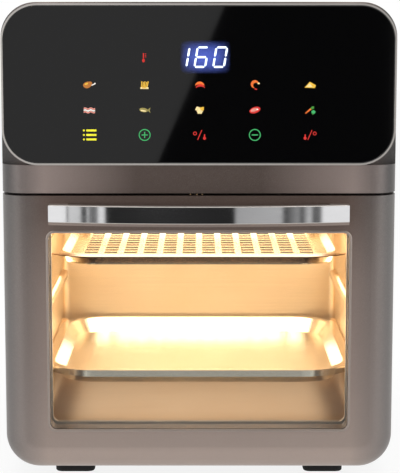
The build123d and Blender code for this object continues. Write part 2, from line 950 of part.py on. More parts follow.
def make_heating_element():
    z = roof_top + element_rise
    element = element_ring(element_outer, element_radius) + element_ring(element_inner, element_radius)
    end_angle = terminal_angle + element_sweep
    x0, y0 = on_circle(element_inner, end_angle)
    x1, y1 = on_circle(element_outer, end_angle)
    length = element_outer - element_inner
    link = Rot(0, 90, 0) * Cylinder(element_radius, length)
    element += Pos((x0 + x1) / 2, (y0 + y1) / 2, z) * Rot(0, 0, end_angle) * link
    for x, y in ((x0, y0), (x1, y1)):
        element += Pos(x, y, z) * Sphere(element_radius)
    for x, y in terminal_places():
        element += rod_z(element_radius, z, dome_top + terminal_rise, x, y)
        element += Pos(x, y, z) * Sphere(element_radius)
    return element


def make_element_brackets():
    """Three plates that hang the element from the dome's roof."""
    z = roof_top + element_rise
    brackets = []
    for degrees in (150, 225, 330):
        inner = element_inner - 3 * element_radius
        plate = block(inner, element_outer, -bracket_width / 2, bracket_width / 2, z, dome_top - chamber_sheet)
        low_room = block(0, fan_radius + 3, -far, far, roof_top + fan_lift - 4, dome_top - 2)
        plate -= low_room
        plate = Pos(0, fan_y, 0) * Rot(0, 0, degrees) * plate
        for radius in (element_inner, element_outer):
            plate -= element_ring(radius, element_radius + runner_fit)
        brackets.append(largest(plate))
    return group(brackets)


def largest(shape):
    """The largest solid of a shape."""
    return shape.solids().sort_by(SortBy.VOLUME)[-1]


def make_fan(radius, height, low, count, bore):
    """A fan with a plate, upright blades and a hub."""
    fan = rod_z(radius, low + height - blade_thickness, low + height, 0, fan_y)
    fan += rod_z(hub_radius, low, low + height, 0, fan_y)
    for i in range(count):
        blade = block(
            hub_radius - 1, radius - 1, -blade_thickness, blade_thickness, low + 1, low + height
        )
        fan += Pos(0, fan_y, 0) * Rot(0, 0, 360 * i / count) * blade
    return fan - rod_z(bore, low - 1, low + height + 1, 0, fan_y)


def make_fan_shaft():
    return rod_z(shaft_radius, roof_top + fan_lift - 6, shaft_top, 0, fan_y)


def make_fan_nut():
    z = roof_top + fan_lift
    nut = Pos(0, fan_y, z - 5) * extrude(RegularPolygon(5, 6), 5)
    return nut - rod_z(shaft_radius, z - 10, z + 1, 0, fan_y)


def make_motor_bracket():
    """The bridge over the cooling fan that carries the motor."""
    half = motor_plate_length / 2
    width = motor_plate_width / 2
    sheet = motor_plate_thickness
    y0 = fan_y - width
    y1 = fan_y + width
    bridge = block(-half, half, y0, y1, motor_base, motor_base + sheet)
    for side in (-1, 1):
        x0, x1 = sorted((side * half, side * (half - sheet)))
        bridge += block(x0, x1, y0, y1, dome_top, motor_base + sheet)
        x0, x1 = sorted((side * half, side * (half + 12)))
        bridge += block(x0, x1, y0, y1, dome_top, dome_top + sheet)
    bridge -= rod_z(shaft_hole_radius, motor_base - 1, motor_base + sheet + 1, 0, fan_y)
    for side in (-1, 1):
        bridge -= motor_screw_hole(side * motor_screw_offset)
    return bridge


def motor_screw_hole(x):
    return rod_z(motor_screw_radius + screw_fit, motor_base - 1, shaft_top + 10, x, fan_y)


def make_bearing_bar(low):
    half = stator_length / 2
    width = bearing_bar_width / 2
    bar = block(-half, half, fan_y - width, fan_y + width, low, low + bearing_bar_height)
    bar -= rod_z(bearing_radius, low - 1, low + bearing_bar_height + 1, 0, fan_y)
    for side in (-1, 1):
        bar -= motor_screw_hole(side * motor_screw_offset)
    return bar


def make_shaft_bearings():
    """Two plain bushes, one in each bearing bar."""
    bushes = []
    for low in (motor_base + motor_plate_thickness, stator_top):
        bush = rod_z(bearing_radius, low, low + bearing_bar_height, 0, fan_y)
        bushes.append(bush - rod_z(shaft_radius + running_fit, low - 1, low + far, 0, fan_y))
    return group(bushes)


coil_window_front = 16.0
coil_window_back = 20.0
coil_half = 13.0
coil_build = 3.6


def make_motor_stator():
    half = stator_length / 2
    width = stator_width / 2
    stator = block(-half, half, fan_y - width, fan_y + width, stator_bottom, stator_top)
    stator -= rod_z(rotor_radius + rotor_gap, stator_bottom - 1, stator_top + 1, 0, fan_y)
    stator -= block(
        -coil_half - 1,
        coil_half + 1,
        fan_y + coil_window_front,
        fan_y + coil_window_back,
        stator_bottom - 1,
        stator_top + 1,
    )
    for side in (-1, 1):
        stator -= motor_screw_hole(side * motor_screw_offset)
    return stator


def make_motor_coil():
    """The winding on the stator's back limb."""
    limb_front = fan_y + coil_window_back
    limb_back = fan_y + stator_width / 2
    build = coil_build
    coil = block(
        -coil_half,
        coil_half,
        limb_front - build,
        limb_back + build,
        stator_bottom - build,
        stator_top + build,
    )
    return coil - block(-far, far, limb_front, limb_back, stator_bottom, stator_top)


def make_motor_screws():
    screws = []
    head_low = stator_top + bearing_bar_height
    for side in (-1, 1):
        x = side * motor_screw_offset
        shank = rod_z(motor_screw_radius, motor_base - 2, head_low, x, fan_y)
        screws.append(shank + rod_z(screw_head_radius, head_low, head_low + screw_head_height, x, fan_y))
    return screws


def make_lamp():
    """The round window in the right-hand wall, with its socket and bulb."""
    wall = cavity_width / 2 + chamber_sheet
    lens_end = wall + lens_thickness
    socket_end = lens_end + socket_depth
    hole = rod_x(lens_radius - lens_lip, wall - 1, socket_end - socket_wall, lamp_y, lamp_z)
    lens = rod_x(lens_radius, wall, lens_end, lamp_y, lamp_z)
    socket = rod_x(lens_radius, lens_end, socket_end, lamp_y, lamp_z) - hole
    base_end = socket_end - socket_wall
    bulb = rod_x(bulb_radius, base_end - bulb_length, base_end, lamp_y, lamp_z)
    bulb = fillet(bulb.faces().sort_by(Axis.X)[0].edges(), bulb_radius * 0.9)
    return {"lamp_lens": lens, "lamp_socket": socket, "lamp_bulb": bulb}


def make_temperature_probe():
    wall_back = cavity_back + chamber_sheet
    probe = rod_y(probe_radius, cavity_back - probe_reach, wall_back + 8, probe_x, probe_z)
    return probe + rod_y(probe_flange_radius, wall_back, wall_back + 2, probe_x, probe_z)


def make_thermal_cutout():
    x, y = on_circle(cutout_offset, 135)
    cutout = rod_z(cutout_radius, dome_top, dome_top + cutout_height, x, y)
    return cutout + rod_z(cutout_radius / 2, dome_top, dome_top + cutout_height + 3, x, y)


def make_door_switch():
    """The door switch's case behind the front frame."""
    y0 = frame_back
    half = switch_width / 2
    half_height = switch_height / 2
    case = block(
        switch_x - half,
        switch_x + half,
        y0,
        y0 + switch_depth,
        fitting_z - half_height,
        fitting_z + half_height,
    )
    bore = rod_y(plunger_radius + running_fit, y0 - 1, plunger_back() + 1, switch_x, fitting_z)
    return case - bore


def plunger_back():
    """The inner end of the switch plunger when the door is shut."""
    return door_back + running_fit * 4 + plunger_length


def make_switch_plunger():
    y0 = door_back + running_fit * 4
    return rod_y(plunger_radius, y0, plunger_back(), switch_x, fitting_z)


def make_catch():
    """A magnet in the front frame and the plate on the door that it holds."""
    half = catch_width / 2
    half_height = catch_height / 2
    low = fitting_z - half_height
    high = fitting_z + half_height
    magnet_front = door_back + running_fit * 4
    magnet = block(-half, half, magnet_front, magnet_front + catch_depth, low, high)
    strike = block(-half, half, door_back - strike_thickness, door_back, low, high)
    return {"catch_magnet": magnet, "strike_plate": strike}


def make_head_shell():
    """The painted shell above the door: a rounded strip below the glass, and a rim behind it."""
    bezel_bottom = base + bezel_rise
    step_y = front + bezel_depth - bezel_proud
    outer = body_form(0, front, frame_front) & block(-far, far, -far, far, head_bottom, far)
    outer -= block(-far, far, -far, step_y, bezel_bottom, far)
    hollow = body_form(head_wall, front + head_wall, frame_front + 1)
    hollow &= block(-far, far, -far, far, head_bottom + head_wall, far)
    hollow -= block(-far, far, -far, step_y + head_wall, bezel_bottom - head_wall, far)
    shell = outer - hollow
    middle = base + bezel_rise + bezel_height / 2
    return shell - block(
        -cable_hole_width / 2,
        cable_hole_width / 2,
        step_y - 1,
        step_y + head_wall + 1,
        middle - cable_hole_height / 2,
        middle + cable_hole_height / 2,
    )


def bezel_panel(inset, y0, y1):
    """The control panel's outline, moved in by inset."""
    low = base + bezel_rise + inset
    high = base + bezel_rise + bezel_height - inset
    return panel(bezel_width - 2 * inset, low, high, bezel_radius - inset, y0, y1)


bezel_front = front - bezel_proud
bezel_back = bezel_front + bezel_depth
glass_back = bezel_front + control_glass_thickness
guide_back = glass_back + light_guide_depth
board_back = guide_back + board_thickness


def make_control_bezel():
    bezel = bezel_panel(0, bezel_front, bezel_back)
    bezel -= bezel_panel(glass_margin, bezel_front - 1, glass_back)
    return bezel - bezel_panel(bezel_ledge, glass_back - 1, bezel_back + 1)


def display_block(y0, y1, grow):
    """The display's place, as a block that may be grown all round."""
    half = display_width / 2 + grow
    half_height = display_height / 2 + grow
    z = base + display_rise
    return block(display_x - half, display_x + half, y0, y1, z - half_height, z + half_height)


def board_screw_places():
    x = bezel_width / 2 - board_margin - outline_radius
    low = base + bezel_rise + board_margin + 6
    high = base + bezel_rise + bezel_height - board_margin - 6
    return [(side * x, z) for side in (-1, 1) for z in (low, high)]


def make_control_parts():
    """What lies behind the bezel's front, with the board's components and screws."""
    guide = bezel_panel(board_margin, glass_back, guide_back) - display_block(glass_back - 1, guide_back + 1, 0.2)
    board = bezel_panel(board_margin, guide_back, board_back)
    screws = []
    for x, z in board_screw_places():
        hole = rod_y(cover_screw_radius, glass_back + 1, board_back + 1, x, z)
        guide -= hole
        board -= hole
        shank = rod_y(cover_screw_radius, glass_back + 1, board_back, x, z)
        screws.append(shank + rod_y(screw_head_radius, board_back, board_back + screw_head_height, x, z))
    low = base + bezel_rise + board_margin
    chips = [
        block(-80, -55, board_back, board_back + 4, low + 30, low + 55),
        block(30, 48, board_back, board_back + 3, low + 20, low + 38),
        rod_y(6, board_back, board_back + 6, 90, low + 40),
        block(-12, 12, board_back, board_back + 5, low + 62, low + 72),
    ]
    return {
        "control_glass": bezel_panel(glass_margin + glass_fit, bezel_front, glass_back),
        "light_guide": guide,
        "display_module": display_block(glass_back, guide_back, 0),
        "control_board": board,
    }, chips, screws


def make_power_parts():
    """The upright board beside the dome, its carrier and what is soldered to it."""
    y0 = frame_back + power_board_setback
    y1 = y0 + power_board_length
    low = roof_top + power_board_rise
    high = low + power_board_height
    x1 = power_board_x
    x0 = x1 - standoff_length
    carrier = block(x0 - carrier_thickness, x0, y0, y1, roof_top, high)
    foot_high = roof_top + carrier_thickness
    foot_end = -(dome_radius + dome_flange + carrier_gap)
    carrier += block(x0 - carrier_thickness, foot_end, y0, y1, roof_top, foot_high)
    for y in (y0 + standoff_inset, y1 - standoff_inset):
        for z in (low + standoff_inset, high - standoff_inset):
            carrier += rod_x(standoff_radius, x0, x1, y, z)
    board_x = x1 + board_thickness
    parts = [
        block(board_x, board_x + 17, y0 + 12, y0 + 40, low + 30, low + 62),
        block(board_x, board_x + 15, y0 + 50, y0 + 66, low + 12, low + 32),
        block(board_x, board_x + 15, y0 + 72, y0 + 88, low + 12, low + 32),
        rod_x(8, board_x, board_x + 16, y0 + 84, low + 54),
        block(board_x, board_x + 10, y0 + 12, y0 + 36, low + 10, low + 22),
    ]
    return {
        "board_carrier": carrier,
        "power_board": block(x1, board_x, y0, y1, low, high),
    }, parts


def foot_places():
    """The middles of the four feet."""
    half = foot_spacing / 2
    rows = (front + foot_front_setback + foot_width / 2, front + foot_back_setback - foot_width / 2)
    return [(side * half, y) for side in (-1, 1) for y in rows]


def make_feet():
    """The four feet and their screws."""
    feet = []
    screws = []
    for x, y in foot_places():
        foot = Pos(x, y, 0) * extrude(RectangleRounded(foot_length, foot_width, foot_radius), foot_height)
        foot = fillet(foot.faces().sort_by(Axis.Z)[0].edges(), 1.5)
        foot -= rod_z(screw_head_radius + screw_fit, -1, foot_recess, x, y)
        foot -= rod_z(foot_screw_radius, 0, foot_height + 1, x, y)
        feet.append(foot)
        shank = rod_z(foot_screw_radius, foot_recess, base + base_wall + 2, x, y)
        head_low = foot_recess - screw_head_height
        screws.append(shank + rod_z(screw_head_radius, head_low, foot_recess, x, y))
    return feet, screws


def make_motor():
    """The fan motor's fixed and turning parts."""
    bars = [make_bearing_bar(motor_base + motor_plate_thickness), make_bearing_bar(stator_top)]
    rotor = rod_z(rotor_radius, stator_bottom + 1, stator_top - 1, 0, fan_y)
    return {
        "motor_bracket": make_motor_bracket(),
        "bearing_bars": group(bars),
        "shaft_bearings": make_shaft_bearings(),
        "motor_stator": make_motor_stator(),
        "motor_coil": make_motor_coil(),
        "motor_rotor": rotor - rod_z(shaft_radius, stator_bottom, stator_top, 0, fan_y),
    }


def make_fans():
    """Both fans on their one shaft."""
    hot_low = roof_top + fan_lift
    cool_low = dome_top + cooling_fan_lift
    return {
        "convection_fan": make_fan(fan_radius, fan_height, hot_low, blade_count, shaft_radius),
        "cooling_fan": make_fan(
            cooling_fan_radius, cooling_fan_height, cool_low, blade_count, shaft_radius
        ),
        "fan_shaft": make_fan_shaft(),
        "fan_nut": make_fan_nut(),
    }


def make_door():
    """The door and all that swings with it."""
    nodes = {
        "door_shell": make_door_shell(),
        "door_liner": make_door_liner(),
        "door_screws": group(make_liner_screws() + make_handle_screws()),
        "handle_bar": make_handle_bar(),
        "handle_trim": make_handle_trim(),
        "hinge_blocks": group(mirrored(make_hinge_block())),
        "hinge_pins": group(mirrored(make_hinge_pin())),
        "hinge_springs": group(mirrored(make_hinge_spring())),
    }
    nodes.update(make_door_glazing())
    return nodes


def make_housing():
    """The fixed sheets, the chamber and what hangs on them."""
    return {
        "outer_wrap": make_outer_wrap(),
        "base_pan": make_base_pan(),
        "rear_cover": make_rear_cover(),
        "exhaust_grille": make_exhaust_grille(),
        "exhaust_duct": make_exhaust_duct(),
        "cord_gland": make_cord_gland(),
        "front_frame": make_front_frame(),
        "door_seal": make_door_seal(),
        "hinge_arms": group(mirrored(make_hinge_arm())),
        "cooking_chamber": make_cooking_chamber(),
        "support_rails": make_support_rails(),
        "fan_guard": make_fan_guard(),
        "heater_dome": make_heater_dome(),
        "heating_element": make_heating_element(),
        "element_brackets": make_element_brackets(),
        "temperature_probe": make_temperature_probe(),
        "thermal_cutout": make_thermal_cutout(),
        "door_switch": make_door_switch(),
        "switch_plunger": make_switch_plunger(),
        "head_shell": make_head_shell(),
        "control_bezel": make_control_bezel(),
        "drip_tray": make_drip_tray(),
        "rack_frame": make_rack_frame(),
        "rack_mesh": make_rack_mesh(),
    }


def make_all():
    """Every sub-part by name."""
    control_nodes, chips, board_screws = make_control_parts()
    power_nodes, power_parts = make_power_parts()
    feet, foot_screws = make_feet()
    housing_screws = make_cover_screws() + make_motor_screws() + board_screws + foot_screws
    nodes = {
        "feet": group(feet),
        "board_components": group(chips + power_parts),
        "housing_screws": group(housing_screws),
    }
    for part_set in (make_door(), make_housing(), make_fans(), make_motor(), make_lamp(), make_catch()):
        nodes.update(part_set)
    nodes.update(control_nodes)
    nodes.update(power_nodes)
    return nodes


os.makedirs("parts", exist_ok=True)
all_nodes = make_all()
for name, shape in all_nodes.items():
    export_step(shape, f"parts/{name}.step")
print(len(all_nodes), "nodes written")
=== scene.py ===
import math

import bmesh
import bpy
from mathutils import Matrix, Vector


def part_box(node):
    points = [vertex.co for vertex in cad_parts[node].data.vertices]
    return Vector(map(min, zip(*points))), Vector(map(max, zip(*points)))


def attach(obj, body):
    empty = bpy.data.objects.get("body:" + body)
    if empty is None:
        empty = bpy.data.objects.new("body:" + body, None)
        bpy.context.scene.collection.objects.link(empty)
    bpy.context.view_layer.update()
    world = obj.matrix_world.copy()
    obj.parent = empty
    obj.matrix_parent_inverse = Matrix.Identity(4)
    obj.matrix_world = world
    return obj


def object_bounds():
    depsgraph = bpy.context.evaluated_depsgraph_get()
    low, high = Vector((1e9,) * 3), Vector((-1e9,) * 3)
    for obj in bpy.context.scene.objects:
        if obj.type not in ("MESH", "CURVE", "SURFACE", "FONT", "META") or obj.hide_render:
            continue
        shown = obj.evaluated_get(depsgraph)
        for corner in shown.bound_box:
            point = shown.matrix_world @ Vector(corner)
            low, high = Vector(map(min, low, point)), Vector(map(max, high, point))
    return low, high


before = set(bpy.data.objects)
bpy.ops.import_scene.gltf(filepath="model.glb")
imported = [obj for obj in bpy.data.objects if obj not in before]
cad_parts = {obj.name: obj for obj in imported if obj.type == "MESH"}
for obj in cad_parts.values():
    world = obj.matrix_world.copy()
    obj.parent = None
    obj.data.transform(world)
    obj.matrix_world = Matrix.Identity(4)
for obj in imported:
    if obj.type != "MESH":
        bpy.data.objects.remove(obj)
cad_low, cad_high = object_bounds()

# Places read from the frame, in metres
door_low, door_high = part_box("door_shell")
head_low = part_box("head_shell")[0]
glass_low, glass_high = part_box("control_glass")
pane_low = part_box("outer_glass")[0]
chamber_low, chamber_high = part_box("cooking_chamber")
tray_low, tray_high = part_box("drip_tray")
rack_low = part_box("rack_frame")[0]
cover_low, cover_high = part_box("rear_cover")
trim_low, trim_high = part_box("handle_trim")

front_y = door_low.y
glass_y = glass_low.y

# Camera
camera_distance = 1.335
camera_height = 0.3885
camera_offset = 0.0009
camera_pitch = 7.9
camera_lens = 129.0

# Window in the door
window_width = 0.240
window_low = door_low.z + 0.0348
window_high = window_low + 0.1602
window_radius = 0.005

# Control panel
icon_pitch = 0.0434
icon_shift = 0.0007
icon_rows = (0.3234, 0.3038, 0.2842)
icon_size = 0.0047
mark_rise = 0.00012
mark_thickness = mark_rise * 0.5
thermometer_wide = 0.0026
thermometer_tall = 0.0036
display_x = 0.0050
display_z = 0.3452
digit_height = 0.0152
digit_width = 0.0084
digit_pitch = 0.0147
digit_stroke = 0.0015
digit_slant = math.radians(9.5)

# Room: its diffuse level, and its tint and brightness in gloss by degrees from straight ahead
room_diffuse = 0.36
room_tint = (1.0, 0.985, 0.965)
room_widest = 45.0
room_levels = (
    (-44.0, 0.95),
    (-24.9, 0.95),
    (-24.6, 0.10),
    (-24.3, 0.70),
    (-22.2, 0.66),
    (-21.9, 0.10),
    (-20.9, 0.06),
    (-20.7, 0.80),
    (-20.4, 0.25),
    (-19.6, 0.12),
    (-18.9, 0.30),
    (-18.6, 0.85),
    (-17.7, 0.85),
    (-17.3, 0.02),
    (-8.0, 0.03),
    (6.4, 0.02),
    (7.0, 0.40),
    (15.2, 0.48),
    (16.0, 0.06),
    (18.4, 0.30),
    (19.2, 0.08),
    (20.6, 0.60),
    (21.4, 0.12),
    (22.6, 0.15),
    (23.2, 0.90),
    (44.0, 0.90),
)


# Shader tools


class Term:
    """A shader socket that takes part in sums."""

    def __init__(self, paint, socket):
        self.paint = paint
        self.socket = socket

    def __add__(self, other):
        return self.paint.sum("ADD", self, other)

    def __sub__(self, other):
        return self.paint.sum("SUBTRACT", self, other)

    def __rsub__(self, other):
        return self.paint.sum("SUBTRACT", other, self)

    def __mul__(self, other):
        return self.paint.sum("MULTIPLY", self, other)

    def __truediv__(self, other):
        return self.paint.sum("DIVIDE", self, other)

    def __pow__(self, other):
        return self.paint.sum("POWER", self, other)

    def __abs__(self):
        return self.paint.sum("ABSOLUTE", self, 0.0)

    __radd__ = __add__
    __rmul__ = __mul__


class NodeTree:
    """A shader node tree that nodes are added to."""

    def __init__(self, tree):
        self.tree = tree

    def node(self, kind, settings=None, inputs=None, output=0):
        """A node of that type, with its settings first and its sockets after."""
        node = self.tree.nodes.new(kind)
        for key, value in (settings or {}).items():
            if key == "stops":
                self.set_stops(node.color_ramp, value)
            else:
                setattr(node, key, value)
        for key, value in (inputs or {}).items():
            if isinstance(value, Term):
                self.tree.links.new(value.socket, node.inputs[key])
            else:
                node.inputs[key].default_value = value
        return Term(self, node.outputs[output])

    def set_stops(self, ramp, stops):
        """A colour ramp's stops, as (place, colour) pairs."""
        while len(ramp.elements) > 1:
            ramp.elements.remove(ramp.elements[-1])
        for i, (place, color) in enumerate(stops):
            element = ramp.elements[0] if i == 0 else ramp.elements.new(place)
            element.position = place
            element.color = (*color, 1.0)

    def sum(self, operation, first, second):
        """One Math node."""
        return self.node("ShaderNodeMath", {"operation": operation}, {0: first, 1: second})

    def clamp(self, value):
        """A value kept between 0 and 1."""
        return self.node("ShaderNodeClamp", None, {"Value": value, "Min": 0.0, "Max": 1.0})

    def place(self, scale=(1.0, 1.0, 1.0)):
        """Object coordinates, stretched."""
        coords = self.node("ShaderNodeTexCoord", None, None, "Object")
        return self.node("ShaderNodeMapping", None, {"Vector": coords, "Scale": scale})

    def axis(self, name):
        """One of the object's own coordinates, in metres."""
        coords = self.node("ShaderNodeTexCoord", None, None, "Object")
        return self.node("ShaderNodeSeparateXYZ", None, {"Vector": coords}, name)

    def noise(self, scale, detail=3.0, stretch=(1.0, 1.0, 1.0), rough=0.5):
        """A cloudy pattern from 0 to 1 on the object's own coordinates."""
        return self.node(
            "ShaderNodeTexNoise",
            None,
            {"Vector": self.place(stretch), "Scale": scale, "Detail": detail, "Roughness": rough},
        )

    def mix(self, factor, first, second):
        """Two colours mixed by a factor."""
        return self.node(
            "ShaderNodeMix",
            {"data_type": "RGBA"},
            {0: factor, 6: colour(first), 7: colour(second)},
            2,
        )

    def ramp(self, factor, stops):
        """A colour that runs through stops."""
        return self.node("ShaderNodeValToRGB", {"stops": stops}, {"Fac": factor})

    def spread(self, value, low, high):
        """A value from 0 to 1 turned into one from low to high."""
        return value * (high - low) + low


class Paint(NodeTree):
    """One material and the nodes that give its finish."""

    def __init__(self, name, color=(0.5, 0.5, 0.5), **fixed):
        self.material = bpy.data.materials.new(name)
        self.material.use_nodes = True
        super().__init__(self.material.node_tree)
        self.shader = self.tree.nodes["Principled BSDF"]
        self.output = self.tree.nodes["Material Output"]
        self.shader.inputs["Base Color"].default_value = (*color, 1.0)
        for words, value in fixed.items():
            socket = words.replace("_", " ").title().replace("Ior", "IOR")
            self.shader.inputs[socket].default_value = value

    def set(self, socket, term):
        """Links a term to one of the shader's sockets."""
        self.tree.links.new(term.socket, self.shader.inputs[socket])

    def blend(self, factor, first, second):
        """Two shaders mixed by a factor, as the surface."""
        mix = self.tree.nodes.new("ShaderNodeMixShader")
        self.tree.links.new(factor.socket, mix.inputs[0])
        self.tree.links.new(first.outputs[0], mix.inputs[1])
        self.tree.links.new(second.outputs[0], mix.inputs[2])
        self.tree.links.new(mix.outputs[0], self.output.inputs["Surface"])

    def bump(self, height, depth, strength=1.0):
        """Raises the surface by a height map, depth in metres."""
        normal = self.node(
            "ShaderNodeBump", None, {"Height": height, "Distance": depth, "Strength": strength}
        )
        self.set("Normal", normal)


def colour(value):
    """A colour for a mix socket: a term stays as it is."""
    return value if isinstance(value, Term) else (*value, 1.0)


def srgb(red, green, blue):
    """A colour written as it shows on a screen, turned into light."""

    def linear(level):
        level = level / 255
        return level / 12.92 if level <= 0.04045 else ((level + 0.055) / 1.055) ** 2.4

    return tuple(linear(level) for level in (red, green, blue))


# Materials


def painted_metal(name, painted_light_tones, low_z, high_z, edge=None, middle=None):
    """Satin metallic paint with fine flakes; its tone by height, edge and middle is painted
    reflection and shade.
    """
    # Where the painted dark middle and the painted edge tones begin and fade, in metres across
    middle_half, middle_fade = 0.125, 0.075
    edge_start, edge_fade = 0.122, 0.03
    paint = Paint(name, metallic=0.6, coat_roughness=0.3, coat_weight=0.15)
    height = (paint.axis("Z") - low_z) / (high_z - low_z)
    cloud = paint.noise(9.0, 2.0)
    stops = [(i / (len(painted_light_tones) - 1), tone) for i, tone in enumerate(painted_light_tones)]
    # Painted reflection and shade: the tone follows the height through the given tones
    body = paint.ramp(paint.clamp(height + cloud * 0.08 - 0.04), stops)
    side = abs(paint.axis("X"))
    # Painted reflection: a darker tone over the middle, where the dark room in front is mirrored
    if middle:
        near = paint.clamp((middle_half - side) / middle_fade)
        body = paint.mix(near, body, middle)
    # Painted reflection: the outer edges get tones of their own, by height
    if edge:
        outer = paint.clamp((side - edge_start) / edge_fade)
        body = paint.mix(outer, body, paint.mix(paint.clamp(height), *edge))
    flakes = paint.noise(2600.0, 1.0)
    speck = paint.clamp((flakes - 0.52) * 6.0)
    paint.set("Base Color", paint.mix(speck * 0.12, body, srgb(226, 220, 214)))
    paint.set("Roughness", paint.spread(paint.noise(60.0, 2.0), 0.34, 0.42))
    paint.bump(flakes + paint.noise(420.0, 2.0) * 1.5, 0.00001, 0.4)
    return paint.material


def brushed_steel(name, color, stretch, rough, warm=None, front=None, metal=1.0):
    """Steel with fine grinding lines along one direction, faint clouds of heat tint, and where
    given a painted shade along its front.
    """
    groove = 0.00002
    paint = Paint(name, metallic=metal)
    lines = paint.noise(1.0, 4.0, stretch, 0.7)
    clouds = paint.noise(14.0, 3.0)
    tint = warm or tuple(level * 0.86 for level in color)
    dark_line = tuple(level * 0.8 for level in color)
    base = paint.mix(paint.clamp((clouds - 0.35) * 1.6), color, tint)
    streak = paint.mix(paint.clamp((lines - 0.4) * 1.3), base, dark_line)
    # Painted shade: a darker tone over the part in front of the given depth, fading over 4 mm
    if front:
        front_edge, front_painted_shade = front
        near = paint.clamp((front_edge - paint.axis("Y")) / 0.004)
        streak = paint.mix(near, streak, front_painted_shade)
    paint.set("Base Color", streak)
    paint.set("Roughness", paint.spread(lines, *rough))
    paint.bump(lines, groove, 0.6)
    return paint.material


def moulded_plastic(name, color, rough=0.55, grain=700.0):
    """Moulded plastic with a fine spark-eroded grain."""
    paint = Paint(name, color)
    grains = paint.noise(grain, 3.0)
    lighter = tuple(min(1.0, level * 1.35 + 0.01) for level in color)
    paint.set("Base Color", paint.mix(paint.clamp((grains - 0.4) * 2.0), color, lighter))
    paint.set("Roughness", paint.spread(grains, rough - 0.08, rough + 0.1))
    paint.bump(grains, 0.00004, 0.5)
    return paint.material


def control_glass():
    """Black printed glass with the faintest dust and wipe marks in its gloss."""
    paint = Paint("control_glass", srgb(6, 6, 7), specular_ior_level=0.5)
    wipes = paint.noise(3.0, 3.0, (1.0, 1.0, 5.0))
    paint.set("Roughness", paint.spread(wipes, 0.015, 0.05))
    dust = paint.clamp((paint.noise(900.0, 2.0) - 0.7) * 5.0)
    paint.set("Base Color", paint.mix(dust * 0.05, srgb(5, 5, 6), srgb(60, 60, 62)))
    return paint.material


def clear_glass(name, edge_tint, strength):
    """Clear glass: it lets the view through and adds its reflection by angle."""
    paint = Paint(name, (1.0, 1.0, 1.0), metallic=1.0)
    smear = paint.noise(7.0, 3.0, (1.0, 1.0, 3.0))
    paint.set("Roughness", paint.spread(smear, 0.01, 0.05))
    fresnel = paint.node("ShaderNodeFresnel", None, {"IOR": 1.5})
    clear = paint.tree.nodes.new("ShaderNodeBsdfTransparent")
    clear.inputs["Color"].default_value = (*edge_tint, 1.0)
    paint.blend(paint.clamp(fresnel * strength), clear, paint.shader)
    return paint.material


def chrome():
    """Bright plating with a trace of polishing haze."""
    paint = Paint("chrome_plating", srgb(232, 233, 236), metallic=1.0)
    haze = paint.noise(40.0, 3.0, (1.0, 1.0, 6.0))
    paint.set("Roughness", paint.spread(haze, 0.02, 0.07))
    paint.set("Base Color", paint.mix(haze * 0.3, srgb(236, 237, 240), srgb(205, 208, 214)))
    return paint.material


def lit(name, color, strength):
    """A printed mark that a light behind the glass shows up, a little uneven as real ones are."""
    paint = Paint(name, color, roughness=0.4, emission_strength=strength)
    patch = paint.noise(260.0, 2.0)
    duller = tuple(level * 0.62 for level in color)
    paint.set("Emission Color", paint.mix(paint.clamp((patch - 0.35) * 2.0), color, duller))
    paint.set("Base Color", paint.mix(patch, color, duller))
    return paint.material


def halo(name, color, strength, middle, half_width, half_height):
    """A soft oblong glow that fades out towards its edge."""
    paint = Paint(
        name, color, roughness=1.0, emission_strength=strength, specular_ior_level=0.0
    )
    across = abs((paint.axis("X") - middle[0]) / half_width)
    upward = abs((paint.axis("Z") - middle[1]) / half_height)
    inside = paint.clamp(1.0 - across**2.2) * paint.clamp(1.0 - upward**1.8)
    mottle = paint.noise(420.0, 2.0)
    duller = tuple(level * 0.5 for level in color)
    paint.set("Emission Color", paint.mix(mottle, color, duller))
    paint.set("Alpha", inside**1.3 * 0.5)
    return paint.material


def circuit_board():
    """Green solder resist with copper tracks under it."""
    paint = Paint("circuit_board", srgb(20, 82, 48), roughness=0.35)
    tracks = paint.node(
        "ShaderNodeTexVoronoi",
        {"feature": "DISTANCE_TO_EDGE"},
        {"Vector": paint.place(), "Scale": 130.0},
    )
    line = paint.clamp(1.0 - tracks * 22.0)
    paint.set("Base Color", paint.mix(line, srgb(17, 78, 44), srgb(60, 128, 84)))
    paint.bump(line, 0.00003, 0.4)
    return paint.material


def rubber(name, color):
    """Matt rubber with moulding grain."""
    paint = Paint(name, color)
    grains = paint.noise(900.0, 3.0)
    lighter = tuple(level * 1.6 + 0.004 for level in color)
    paint.set("Base Color", paint.mix(grains, color, lighter))
    paint.set("Roughness", paint.spread(grains, 0.72, 0.9))
    paint.bump(grains, 0.00005, 0.6)
    return paint.material


def winding():
    """Enamelled copper wire wound in layers."""
    paint = Paint("copper_winding", metallic=0.8)
    turns = paint.node(
        "ShaderNodeTexWave",
        {"wave_type": "BANDS", "bands_direction": "X"},
        {"Vector": paint.place(), "Scale": 420.0, "Distortion": 0.6, "Detail": 1.0},
    )
    paint.set("Base Color", paint.mix(turns, srgb(104, 46, 22), srgb(206, 118, 62)))
    paint.set("Roughness", paint.spread(turns, 0.45, 0.3))
    paint.bump(turns, 0.0002, 0.8)
    return paint.material


# Stretch of the grinding lines along each axis
lines_across = (4.0, 700.0, 700.0)
lines_in_depth = (260.0, 4.0, 260.0)
lines_on_edge = (4.0, 4.0, 900.0)

taupe = srgb(158, 142, 134)
# Painted shade: the wrap's paint darkens to this tone at its top
taupe_top_painted_shade = srgb(122, 118, 116)
# Painted highlight: the handle's paint lightens to this tone at its top
handle_top_painted_highlight = srgb(182, 174, 168)
